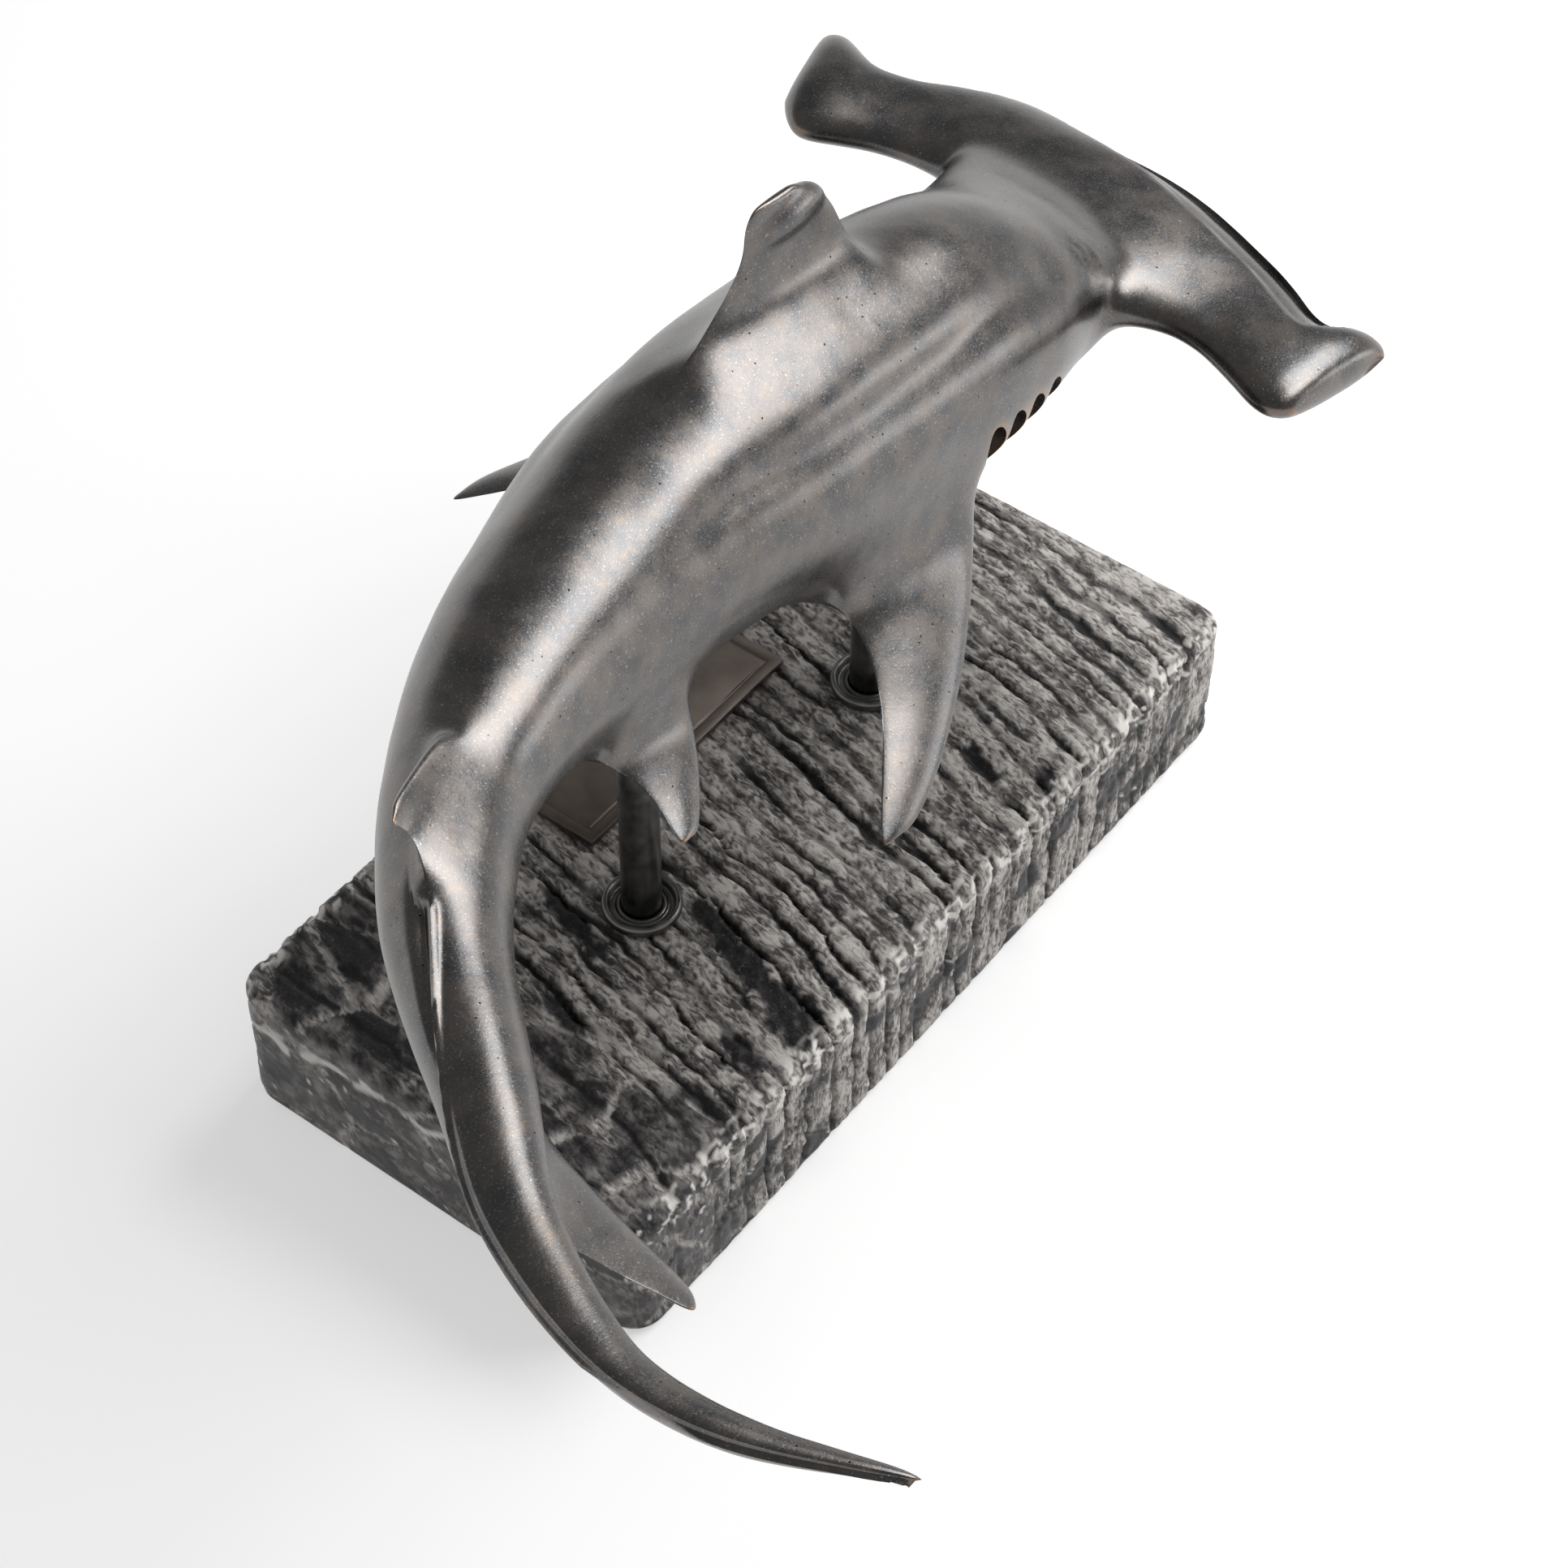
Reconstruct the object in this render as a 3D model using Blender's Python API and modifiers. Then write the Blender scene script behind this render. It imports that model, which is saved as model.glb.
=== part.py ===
# Hammerhead shark sculpture: one metal casting carried by two posts over a ridged stone slab.
# Origin: centre of the slab's underside. +X runs along the slab towards the shark's head,
# +Y is the shark's left side, +Z is up. All sizes are in metres.

import math

import bmesh
import bpy
import numpy as np
from mathutils import Vector

# Fits
SEAT_GAP = 0.0003            # left between faces that touch
STUD_CLEARANCE = 0.0008      # round a stud in its drilled hole, on the radius

# Stone slab
STONE_LENGTH = 0.300
STONE_WIDTH = 0.150
STONE_HEIGHT = 0.050
STONE_CORNER = 0.011         # plan radius of the four corners
STONE_EDGE = 0.004           # worn rounding of the top and bottom edges
VEIN_SPAN = 0.300            # slab length on which the veins below were read
VEIN_SHOULDER = 0.0022       # from a vein's bottom to the band beside it
VEIN_LEAN = 0.21             # run of a vein along X for each metre across the slab
VEIN_BOW = 0.8               # its bending away towards the slab's -Y edge, in 1/m
VEIN_WANDER = 0.0011

# Posts, collars and the fixings under the slab
POST_SPACING = 0.112
POST_OFFSET = -0.002         # posts stand this far off the slab's long centre line
POST_DIAMETER = 0.012
POST_BITE = 0.016            # how far a post enters the casting, below its middle line
STUD_DIAMETER = 0.008
COLLAR_DIAMETER = 0.024
COLLAR_HEIGHT = 0.0038
COLLAR_BEAD = 0.0022
WASHER_DIAMETER = 0.024
WASHER_THICKNESS = 0.0018
NUT_ACROSS_FLATS = 0.013
NUT_HEIGHT = 0.0065
STUD_END = 0.002             # stud left showing below its nut
COUNTERBORE_DIAMETER = 0.028
COUNTERBORE_DEPTH = 0.016

# Name plate, left bare
PLATE_LENGTH = 0.094
PLATE_WIDTH = 0.042
PLATE_THICKNESS = 0.0022
PLATE_MARGIN = 0.009         # from the slab's left edge to the plate
PLATE_BORDER = 0.0032
PLATE_LINE = 0.0009
PLATE_LINE_DEPTH = 0.0005

# Shark
RIDE_HEIGHT = 0.135          # body's middle line above the slab, over the front posts' end
BODY_SIDES = 16
SWELL = 1.026                # a subdivided ring settles inside its corners; this restores it
GILL_COUNT = 5
GILL_PITCH = 0.0102
GILL_DEPTH = 0.0052
GILL_HEIGHT = 0.028
GILL_WIDTH = 0.0070
GILL_SLOPE = 30              # degrees below level at which the slots sit on the side
EYE_SOCKET_DIAMETER = 0.011
MOUTH_RADIUS = 0.017
MOUTH_WIDTH = 0.0032
MOUTH_CENTRE = 0.132         # x of the mouth's bend, under the head
MOUTH_ROOF = 0.0215          # the mouth is cut up to this far under the ride height
ROUND_STEPS = 16             # facets round the turned pieces

# Soft veins brushed back into the slab: x on the slab's long centre line, and depth.
VEINS = [
    (-0.141, 0.0014), (-0.132, 0.0018), (-0.123, 0.0022), (-0.110, 0.0020), (-0.095, 0.0026),
    (-0.087, 0.0022), (-0.080, 0.0016), (-0.070, 0.0022), (-0.062, 0.0018), (-0.052, 0.0016),
    (-0.038, 0.0030), (-0.027, 0.0026), (-0.019, 0.0024), (-0.011, 0.0018), (-0.004, 0.0014),
    (0.004, 0.0018), (0.018, 0.0030), (0.0235, 0.0016), (0.032, 0.0024), (0.040, 0.0012),
    (0.051, 0.0022), (0.062, 0.0022), (0.074, 0.0026), (0.090, 0.0020), (0.099, 0.0014),
    (0.106, 0.0012), (0.113, 0.0014), (0.120, 0.0010), (0.127, 0.0014), (0.134, 0.0012), (0.141, 0.0014),
]

# Body stations from neck to tail tip. x and y place the middle line, rise is its height over
# the ride height, half is the half width, back and belly are the depths above and below the
# middle line, roll turns the back towards the shark's left, keel draws the back and belly
# out to an edge, and rings is the number of cage rings up to the next station.
BODY_STATIONS = {
    "neck": (0.108, -0.004, -0.007, 0.0345, 0.028, 0.031, 0, 0.0, 1),
    "gill_front": (0.092, -0.004, -0.004, 0.0380, 0.035, 0.037, 0, 0.0, 2),
    "pectoral_front": (0.058, -0.004, 0.002, 0.0400, 0.042, 0.041, 0, 0.0, 1),
    "dorsal_front": (0.037, -0.003, 0.005, 0.0395, 0.044, 0.042, 0, 0.0, 3),
    "pectoral_rear": (-0.014, -0.002, 0.012, 0.0390, 0.043, 0.041, 0, 0.0, 1),
    "dorsal_rear": (-0.045, -0.003, 0.016, 0.0365, 0.040, 0.037, 0, 0.0, 2),
    "pelvic_front": (-0.075, -0.007, 0.019, 0.0325, 0.035, 0.032, 0, 0.0, 3),
    "pelvic_rear": (-0.117, -0.015, 0.024, 0.0260, 0.028, 0.025, 0, 0.0, 2),
    "second_front": (-0.158, -0.031, 0.029, 0.0190, 0.020, 0.018, 1, 0.0, 3),
    "second_rear": (-0.197, -0.061, 0.033, 0.0155, 0.016, 0.015, 7, 0.1, 2),
    "lobe_front": (-0.226, -0.098, 0.038, 0.0120, 0.014, 0.013, 38, 0.3, 2),
    "lobe_rear": (-0.253, -0.133, 0.042, 0.0085, 0.012, 0.006, 50, 0.5, 1),
    "blade": (-0.2685, -0.1675, 0.047, 0.0052, 0.010, 0.004, 45, 0.6, 2),
    "blade_end": (-0.268, -0.206, 0.051, 0.0040, 0.007, 0.004, 38, 0.5, 1),
    "tip": (-0.255, -0.239, 0.054, 0.0012, 0.002, 0.002, 36, 0.3, 0),
}

# Hammer sections from the left end to the right end: the front edge and the rear edge in plan,
# and the thickness. The middle three carry no rear edge, because the neck grows out there.
HAMMER_SECTIONS = [
    (0.180, 0.110, 0.140, 0.096, 0.0110),
    (0.186, 0.103, 0.126, 0.084, 0.0180),
    (0.174, 0.087, 0.134, 0.074, 0.0170),
    (0.179, 0.071, 0.140, 0.060, 0.0145),
    (0.189, 0.056, 0.142, 0.044, 0.0160),
    (0.192, 0.034, 0.141, 0.034, 0.0200),
    (0.189, 0.017, 0.137, 0.016, 0.0230),
    (0.190, 0.000, 0.133, -0.002, 0.0240),
    (0.189, -0.018, 0.125, -0.020, 0.0230),
    (0.184, -0.037, 0.115, -0.038, 0.0200),
    (0.175, -0.056, 0.123, -0.052, 0.0160),
    (0.166, -0.074, 0.122, -0.067, 0.0145),
    (0.154, -0.088, 0.114, -0.082, 0.0160),
    (0.164, -0.102, 0.106, -0.096, 0.0180),
    (0.157, -0.109, 0.113, -0.103, 0.0110),
]
NECK_SECTIONS = (5, 9)       # the neck opens between these two sections
HAMMER_RISE = -0.017         # height of the front edge over the ride height
HAMMER_PITCH = 0.14          # rise of the hammer for each metre back from its front edge
HAMMER_FRONT = 0.190
BROW_RISE = 0.003            # swell of the head where it meets the hammer

# Hammer section corners: share of the chord from the front edge, share of the half thickness.
# Upper side first, front edge to rear edge; the lower side mirrors it.
HAMMER_PROFILE = ((0.0, 0.0), (0.05, 0.42), (0.16, 0.92), (0.45, 1.05), (0.78, 0.85), (0.95, 0.5),
                  (1.0, 0.0))

# Fins. root names the first and last body station, column is the cage column under the fin's
# middle, angle is the way it points (0 back, 90 left, 180 belly, 270 right), and each section
# is (distance out, front edge, rear edge, thickness), the edges measured aft along the root.
FINS = {
    "dorsal": {
        "root": ("dorsal_front", "dorsal_rear"), "column": 0, "angle": 8,
        "sections": [(0.005, 0.003, 0.074, 0.0110), (0.012, 0.008, 0.061, 0.0075),
                     (0.020, 0.012, 0.050, 0.0062), (0.027, 0.018, 0.050, 0.0058),
                     (0.0325, 0.027, 0.047, 0.0040)],
    },
    "right_pectoral": {
        "root": ("pectoral_front", "pectoral_rear"), "column": 10, "angle": 230,
        "sections": [(0.009, 0.001, 0.060, 0.0130), (0.026, 0.015, 0.061, 0.0090),
                     (0.044, 0.036, 0.073, 0.0070), (0.060, 0.060, 0.089, 0.0050),
                     (0.068, 0.080, 0.096, 0.0030)],
    },
    "left_pectoral": {
        "root": ("pectoral_front", "pectoral_rear"), "column": 6, "angle": 113,
        "sections": [(0.009, 0.001, 0.060, 0.0130), (0.026, 0.014, 0.061, 0.0090),
                     (0.043, 0.032, 0.067, 0.0070), (0.058, 0.052, 0.078, 0.0050),
                     (0.065, 0.068, 0.083, 0.0030)],
    },
    "right_pelvic": {
        "root": ("pelvic_front", "pelvic_rear"), "column": 10, "angle": 232,
        "sections": [(0.006, 0.001, 0.038, 0.0080), (0.015, 0.008, 0.034, 0.0055),
                     (0.025, 0.018, 0.035, 0.0042), (0.034, 0.029, 0.039, 0.0026)],
    },
    "left_pelvic": {
        "root": ("pelvic_front", "pelvic_rear"), "column": 6, "angle": 142,
        "sections": [(0.006, 0.001, 0.038, 0.0080), (0.015, 0.008, 0.034, 0.0055),
                     (0.025, 0.018, 0.035, 0.0042), (0.034, 0.029, 0.039, 0.0026)],
    },
    "second_dorsal": {
        "root": ("second_front", "second_rear"), "column": 0, "angle": 38,
        "sections": [(0.0035, 0.002, 0.046, 0.0055), (0.0080, 0.015, 0.037, 0.0042),
                     (0.0150, 0.033, 0.042, 0.0030)],
    },
    "anal": {
        "root": ("second_front", "second_rear"), "column": 8, "angle": 180,
        "sections": [(0.004, 0.008, 0.040, 0.0050), (0.009, 0.018, 0.036, 0.0036),
                     (0.014, 0.030, 0.040, 0.0024)],
    },
    "lower_lobe": {
        "root": ("lobe_front", "lobe_rear"), "column": 8, "angle": 194,
        "sections": [(0.005, 0.007, 0.044, 0.0050), (0.014, 0.020, 0.047, 0.0040),
                     (0.025, 0.033, 0.050, 0.0032), (0.038, 0.046, 0.055, 0.0022)],
    },
}
# Corners of a fin section: share of the chord and share of the thickness at the front and rear.
FIN_NOSE = (0.07, 0.62)
FIN_TAIL = (0.93, 0.24)
TRAILING_CREASE = 0.55
KEEL_CREASE = 0.45

STONE_TOP = STONE_HEIGHT
POST_PLACES = {"front": POST_SPACING / 2, "rear": -POST_SPACING / 2}
RIDE_LEVEL = STONE_TOP + RIDE_HEIGHT


def clear_scene():
    for item in list(bpy.data.objects):
        bpy.data.objects.remove(item, do_unlink=True)


def new_collection(name):
    group = bpy.data.collections.new(name)
    bpy.context.scene.collection.children.link(group)
    return group


def material(name, colour, roughness, metallic):
    finish = bpy.data.materials.new(name)
    finish.use_nodes = True
    shader = finish.node_tree.nodes["Principled BSDF"]
    shader.inputs["Base Color"].default_value = (*colour, 1.0)
    shader.inputs["Roughness"].default_value = roughness
    shader.inputs["Metallic"].default_value = metallic
    return finish


def mesh_object(name, bm, group, finish=None, smooth_angle=None):
    """Turns a bmesh into a named object in the given collection."""
    mesh = bpy.data.meshes.new(name)
    bm.to_mesh(mesh)
    bm.free()
    item = bpy.data.objects.new(name, mesh)
    group.objects.link(item)
    if finish:
        mesh.materials.append(finish)
    if smooth_angle is not None:
        mesh.shade_smooth()
        mesh.set_sharp_from_angle(angle=math.radians(smooth_angle))
    return item


def cutter(name, bm, cutters):
    item = mesh_object(name, bm, cutters)
    item.hide_render = True
    item.display_type = "WIRE"
    return item


def cut(item, tool):
    modifier = item.modifiers.new("Cut " + tool.name, "BOOLEAN")
    modifier.operation = "DIFFERENCE"
    modifier.solver = "EXACT"
    modifier.object = tool


def add_cylinder(bm, radius, bottom, top, x=0.0, y=0.0, segments=ROUND_STEPS):
    made = bmesh.ops.create_cone(bm, cap_ends=True, segments=segments, radius1=radius,
                                 radius2=radius, depth=top - bottom)
    bmesh.ops.translate(bm, verts=made["verts"], vec=(x, y, (top + bottom) / 2))


def turned(name, profile, group, finish, location, closed=False):
    """A turned piece: the profile, outer side first from top to bottom, swept about Z."""
    bm = bmesh.new()
    points = [bm.verts.new((radius, 0.0, height)) for radius, height in profile]
    for first, second in zip(points, points[1:]):
        bm.edges.new((first, second))
    if closed:
        bm.edges.new((points[-1], points[0]))
    item = mesh_object(name, bm, group, finish)
    item.location = location
    screw = item.modifiers.new("Turn", "SCREW")
    screw.axis = "Z"
    screw.steps = ROUND_STEPS
    screw.render_steps = ROUND_STEPS
    screw.use_merge_vertices = True
    screw.merge_threshold = 0.00001
    screw.use_smooth_shade = False
    return item


class BodyLine:
    """The body's middle line and section sizes, read smoothly between the stations."""

    def __init__(self, stations):
        self.names = list(stations)
        self.rings = [values[-1] for values in stations.values()]
        self.table = np.array([values[:-1] for values in stations.values()], dtype=float)

    def index(self, name):
        return self.names.index(name)

    def values(self, place):
        """Station values at a place counted in stations, by a Catmull-Rom spline."""
        last = len(self.table) - 1
        first = min(int(place), last - 1)
        share = place - first
        p1, p2 = self.table[first], self.table[first + 1]
        p0 = self.table[first - 1] if first > 0 else 2 * p1 - p2
        p3 = self.table[first + 2] if first + 2 <= last else 2 * p2 - p1
        slope1, slope2 = (p2 - p0) / 2, (p3 - p1) / 2
        squared, cubed = share ** 2, share ** 3
        return ((2 * cubed - 3 * squared + 1) * p1 + (cubed - 2 * squared + share) * slope1
                + (3 * squared - 2 * cubed) * p2 + (cubed - squared) * slope2)

    def centre(self, place):
        x, y, rise = self.values(place)[:3]
        return Vector((x, y, RIDE_LEVEL + rise))

    def frame(self, place):
        """Unit vectors aft, to the shark's left and towards its back, with the roll taken in."""
        step = 0.05
        last = len(self.table) - 1
        behind = self.centre(min(place + step, last))
        ahead = self.centre(max(place - step, 0))
        aft = (behind - ahead).normalized()
        left = aft.cross(Vector((0, 0, 1))).normalized()
        up = left.cross(aft).normalized()
        roll = math.radians(self.values(place)[6])
        rolled_up = up * math.cos(roll) + left * math.sin(roll)
        rolled_left = left * math.cos(roll) - up * math.sin(roll)
        return aft, rolled_left, rolled_up

    def ring(self, place):
        """Corners of the cage ring at a place, from the back round by the left side."""
        half, back, belly, keel = self.values(place)[[3, 4, 5, 7]]
        centre = self.centre(place)
        left, up = self.frame(place)[1:]
        corners = []
        for column in range(BODY_SIDES):
            turn = 2 * math.pi * column / BODY_SIDES
            across = half * math.sin(turn) * abs(math.sin(turn)) ** max(keel, 0.0)
            height = (back if math.cos(turn) > 0 else belly) * math.cos(turn)
            corners.append(centre + (left * across + up * height) * SWELL)
        return corners

    def place_at(self, x):
        """Where the middle line passes a given x, over the straight front of the body."""
        low, high = 0.0, float(self.index("pelvic_rear"))
        for _ in range(40):
            middle = (low + high) / 2
            if self.values(middle)[0] > x:
                low = middle
            else:
                high = middle
        return (low + high) / 2


BODY = BodyLine(BODY_STATIONS)


def hammer_corners(section):
    """The twelve corners of one hammer section, front edge, upper side, rear edge, lower side."""
    front_x, front_y, rear_x, rear_y, thick = section
    upper = []
    lower = []
    for share, height in HAMMER_PROFILE:
        x = front_x + (rear_x - front_x) * share
        y = front_y + (rear_y - front_y) * share
        level = RIDE_LEVEL + HAMMER_RISE + (HAMMER_FRONT - x) * HAMMER_PITCH
        upper.append(Vector((x, y, level + height * thick / 2)))
        lower.append(Vector((x, y, level - height * thick / 2)))
    return upper + lower[-2:0:-1]


def add_hammer(bm):
    """Lofts the hammer from end to end and leaves the neck's opening in its rear side."""
    first, last = NECK_SECTIONS
    rear_corners = (5, 6, 7)
    grid = []
    for number, section in enumerate(HAMMER_SECTIONS):
        row = {}
        for corner, point in enumerate(hammer_corners(section)):
            if first < number < last and corner in rear_corners:
                continue
            row[corner] = bm.verts.new(point)
        grid.append(row)
    around = len(grid[0])
    for number, (row, following) in enumerate(zip(grid, grid[1:])):
        for corner in range(around):
            beside = (corner + 1) % around
            if first <= number < last and 4 <= corner < 8:
                continue
            bm.faces.new((row[corner], row[beside], following[beside], following[corner]))
    for row in (grid[0], grid[-1]):
        bm.faces.new((row[0], row[1], row[11]))
        for step in range(1, 5):
            bm.faces.new((row[step], row[step + 1], row[11 - step], row[12 - step]))
        bm.faces.new((row[5], row[6], row[7]))
    middle = (first + last) // 2
    loop = [grid[number][4] for number in range(middle, first, -1)]
    loop += [grid[first][corner] for corner in range(4, 8)]
    loop += [grid[number][8] for number in range(first, last)]
    loop += [grid[last][corner] for corner in range(8, 4, -1)]
    loop += [grid[number][4] for number in range(last, middle, -1)]
    return loop


def ring_places():
    places = []
    for number, count in enumerate(BODY.rings):
        places += [number + step / count for step in range(count)]
    places.append(float(len(BODY.rings) - 1))
    return places


def root_curve(points, distance):
    """A point at a distance aft along the fin's root, carried on straight past either end."""
    run = 0.0
    for first, second in zip(points, points[1:]):
        length = (second - first).length
        if distance <= run + length or second is points[-1]:
            return first + (second - first) * ((distance - run) / length)
        run += length


def grow_fin(bm, fin, rings, places, crease):
    """Replaces a block of body faces, two columns wide, by a fin."""
    start = places.index(float(BODY.index(fin["root"][0])))
    end = places.index(float(BODY.index(fin["root"][1])))
    column = fin["column"]
    left_side, middle, right_side = ((column + step) % BODY_SIDES for step in (-1, 0, 1))
    steps = end - start
    root = [rings[start + step][middle].co.copy() for step in range(steps + 1)]
    left, up = BODY.frame(places[start])[1:]
    angle = math.radians(fin["angle"])
    out = up * math.cos(angle) + left * math.sin(angle)
    side = left * math.cos(angle) - up * math.sin(angle)
    previous = {(step, edge): rings[start + step][columns]
                for step in range(steps + 1)
                for edge, columns in ((0, left_side), (1, middle), (2, right_side))}
    for distance, front, rear, thick in fin["sections"]:
        current = {}
        for step in range(steps + 1):
            share = FIN_NOSE[0] + (FIN_TAIL[0] - FIN_NOSE[0]) * step / steps
            fullness = FIN_NOSE[1] + (FIN_TAIL[1] - FIN_NOSE[1]) * step / steps
            fullness += 1.4 * (step / steps) * (1 - step / steps)
            point = root_curve(root, front + (rear - front) * share) + out * distance
            for edge in (0, 2):
                offset = side * (edge - 1) * thick / 2 * fullness
                current[step, edge] = bm.verts.new(point + offset)
        for step, aft in ((0, front), (steps, rear)):
            current[step, 1] = bm.verts.new(root_curve(root, aft) + out * distance)
        for edge in (0, 2):
            for step in range(steps):
                bm.faces.new((previous[step, edge], previous[step + 1, edge],
                              current[step + 1, edge], current[step, edge]))
        for step in (0, steps):
            for edge in (0, 1):
                bm.faces.new((previous[step, edge], previous[step, edge + 1],
                              current[step, edge + 1], current[step, edge]))
        rim = bm.edges.get((previous[steps, 1], current[steps, 1]))
        rim[crease] = TRAILING_CREASE
        previous = current
    for step in range(1, steps):
        previous[step, 1] = bm.verts.new((previous[step, 0].co + previous[step, 2].co) / 2)
    for step in range(steps):
        for edge in (0, 1):
            bm.faces.new((previous[step, edge], previous[step + 1, edge],
                          previous[step + 1, edge + 1], previous[step, edge + 1]))


def covered_faces(places):
    """The body faces that fins replace, as (ring, column) pairs."""
    covered = set()
    for fin in FINS.values():
        start = places.index(float(BODY.index(fin["root"][0])))
        end = places.index(float(BODY.index(fin["root"][1])))
        for ring in range(start, end):
            covered.add((ring, (fin["column"] - 1) % BODY_SIDES))
            covered.add((ring, fin["column"]))
    return covered


def shark_cage():
    """The whole shark as one closed cage of quads."""
    bm = bmesh.new()
    crease = bm.edges.layers.float.new("crease_edge")
    opening = add_hammer(bm)
    places = ring_places()
    rings = [[bm.verts.new(point) for point in BODY.ring(place)] for place in places]
    brow = []
    for column, (front, rear) in enumerate(zip(opening, rings[0])):
        height = math.cos(2 * math.pi * column / BODY_SIDES)
        point = (front.co + rear.co) / 2 + Vector((0, 0, BROW_RISE * height))
        brow.append(bm.verts.new(point))
    covered = covered_faces(places)
    for number, (row, following) in enumerate(zip([opening, brow] + rings, [brow] + rings)):
        for column in range(BODY_SIDES):
            if (number - 2, column) in covered:
                continue
            beside = (column + 1) % BODY_SIDES
            bm.faces.new((row[column], row[beside], following[beside], following[column]))
    bm.faces.new(rings[-1])
    for fin in FINS.values():
        grow_fin(bm, fin, rings, places, crease)
    keel_start = places.index(float(BODY.index("second_rear")))
    for row, following in zip(rings[keel_start:], rings[keel_start + 1:]):
        edge = bm.edges.get((row[0], following[0]))
        edge[crease] = KEEL_CREASE
    bmesh.ops.recalc_face_normals(bm, faces=bm.faces)
    return bm


def post_top(x):
    """Top of the post under the body at x: it enters the casting by POST_BITE."""
    place = BODY.place_at(x)
    return BODY.centre(place).z - BODY.values(place)[5] + POST_BITE


def gill_cutters(cutters):
    """Five leaning slots down each side of the head, ahead of the pectoral fins."""
    bm = bmesh.new()
    rear = BODY.values(BODY.index("pectoral_front"))[0] + GILL_PITCH * 0.3
    slope = math.radians(GILL_SLOPE)
    for number in range(GILL_COUNT):
        place = BODY.place_at(rear + GILL_PITCH * number)
        centre = BODY.centre(place)
        half = BODY.values(place)[3]
        aft, left, up = BODY.frame(place)
        for side in (1, -1):
            made = bmesh.ops.create_uvsphere(bm, u_segments=8, v_segments=5, radius=1.0)
            out = left * side * math.cos(slope) - up * math.sin(slope)
            along = (up * math.cos(slope) + left * side * math.sin(slope) + aft * 0.25).normalized()
            across = along.cross(out).normalized()
            middle = centre + out * half
            for vertex in made["verts"]:
                x, y, z = vertex.co
                vertex.co = (middle + across * x * GILL_WIDTH / 2 + out * y * GILL_DEPTH
                             + along * z * GILL_HEIGHT / 2)
    bmesh.ops.recalc_face_normals(bm, faces=bm.faces)
    return cutter("gill_slots", bm, cutters)


def eye_cutters(cutters):
    """A round socket in the front outer corner of each end of the hammer."""
    bm = bmesh.new()
    for end, inner in ((0, 1), (-1, -2)):
        outer_corner = hammer_corners(HAMMER_SECTIONS[end])[0]
        inner_corner = hammer_corners(HAMMER_SECTIONS[inner])[0]
        made = bmesh.ops.create_uvsphere(bm, u_segments=10, v_segments=6,
                                         radius=EYE_SOCKET_DIAMETER / 2)
        place = (outer_corner + inner_corner) / 2 + Vector((0.0015, 0, 0))
        bmesh.ops.translate(bm, verts=made["verts"], vec=place)
    return cutter("eye_sockets", bm, cutters)


def mouth_cutter(cutters):
    """The crescent mouth under the head, bowed forward."""
    bm = bmesh.new()
    steps = 8
    walls = []
    for step in range(steps + 1):
        turn = math.radians(-80 + 160 * step / steps)
        wide = MOUTH_WIDTH / 2 * (0.35 + 0.65 * math.cos(turn))
        for radius in (MOUTH_RADIUS - wide, MOUTH_RADIUS + wide):
            x = MOUTH_CENTRE + radius * math.cos(turn)
            y = BODY.values(0)[1] + radius * math.sin(turn)
            walls.append(bm.verts.new((x, y, RIDE_LEVEL - MOUTH_ROOF - 0.03)))
    floor = []
    for step in range(0, 2 * steps, 2):
        floor.append(bm.faces.new((walls[step], walls[step + 1], walls[step + 3], walls[step + 2])))
    raised = bmesh.ops.extrude_face_region(bm, geom=floor)
    tops = [item for item in raised["geom"] if isinstance(item, bmesh.types.BMVert)]
    bmesh.ops.translate(bm, verts=tops, vec=(0, 0, 0.03))
    bmesh.ops.recalc_face_normals(bm, faces=bm.faces)
    return cutter("mouth", bm, cutters)


def shark_casting(group, cutters, finish):
    """The casting: cage, one subdivision, then the gill slots, eye sockets and post sockets."""
    shark = mesh_object("shark_casting", shark_cage(), group, finish)
    surface = shark.modifiers.new("Surface", "SUBSURF")
    surface.levels = 1
    surface.render_levels = 1
    cut(shark, gill_cutters(cutters))
    cut(shark, eye_cutters(cutters))
    cut(shark, mouth_cutter(cutters))
    sockets = bmesh.new()
    for x in POST_PLACES.values():
        add_cylinder(sockets, POST_DIAMETER / 2 + SEAT_GAP, RIDE_LEVEL - 0.09,
                     post_top(x) + SEAT_GAP, x, POST_OFFSET)
    cut(shark, cutter("post_sockets", sockets, cutters))
    return shark


def vein_lines():
    """Grid lines across the slab as (x, depth): each vein has its bottom and two shoulders."""
    stretch = STONE_LENGTH / VEIN_SPAN
    lines = [(-STONE_LENGTH / 2, 0.0)]
    for x, depth in VEINS:
        lines.append(((x - VEIN_SHOULDER) * stretch, 0.1 * depth))
        lines.append((x * stretch, depth))
        lines.append(((x + VEIN_SHOULDER) * stretch, 0.1 * depth))
    lines.append((STONE_LENGTH / 2, 0.0))
    return lines


def vein_shift(x, y):
    """How far a vein that crosses the long centre line at x lies off x, at y."""
    fade = min(1.0, (STONE_LENGTH / 2 - abs(x)) / 0.025)
    wander = VEIN_WANDER * math.sin(y * 90 + x * 60)
    return (VEIN_LEAN * y - VEIN_BOW * y * y + wander) * fade


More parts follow.
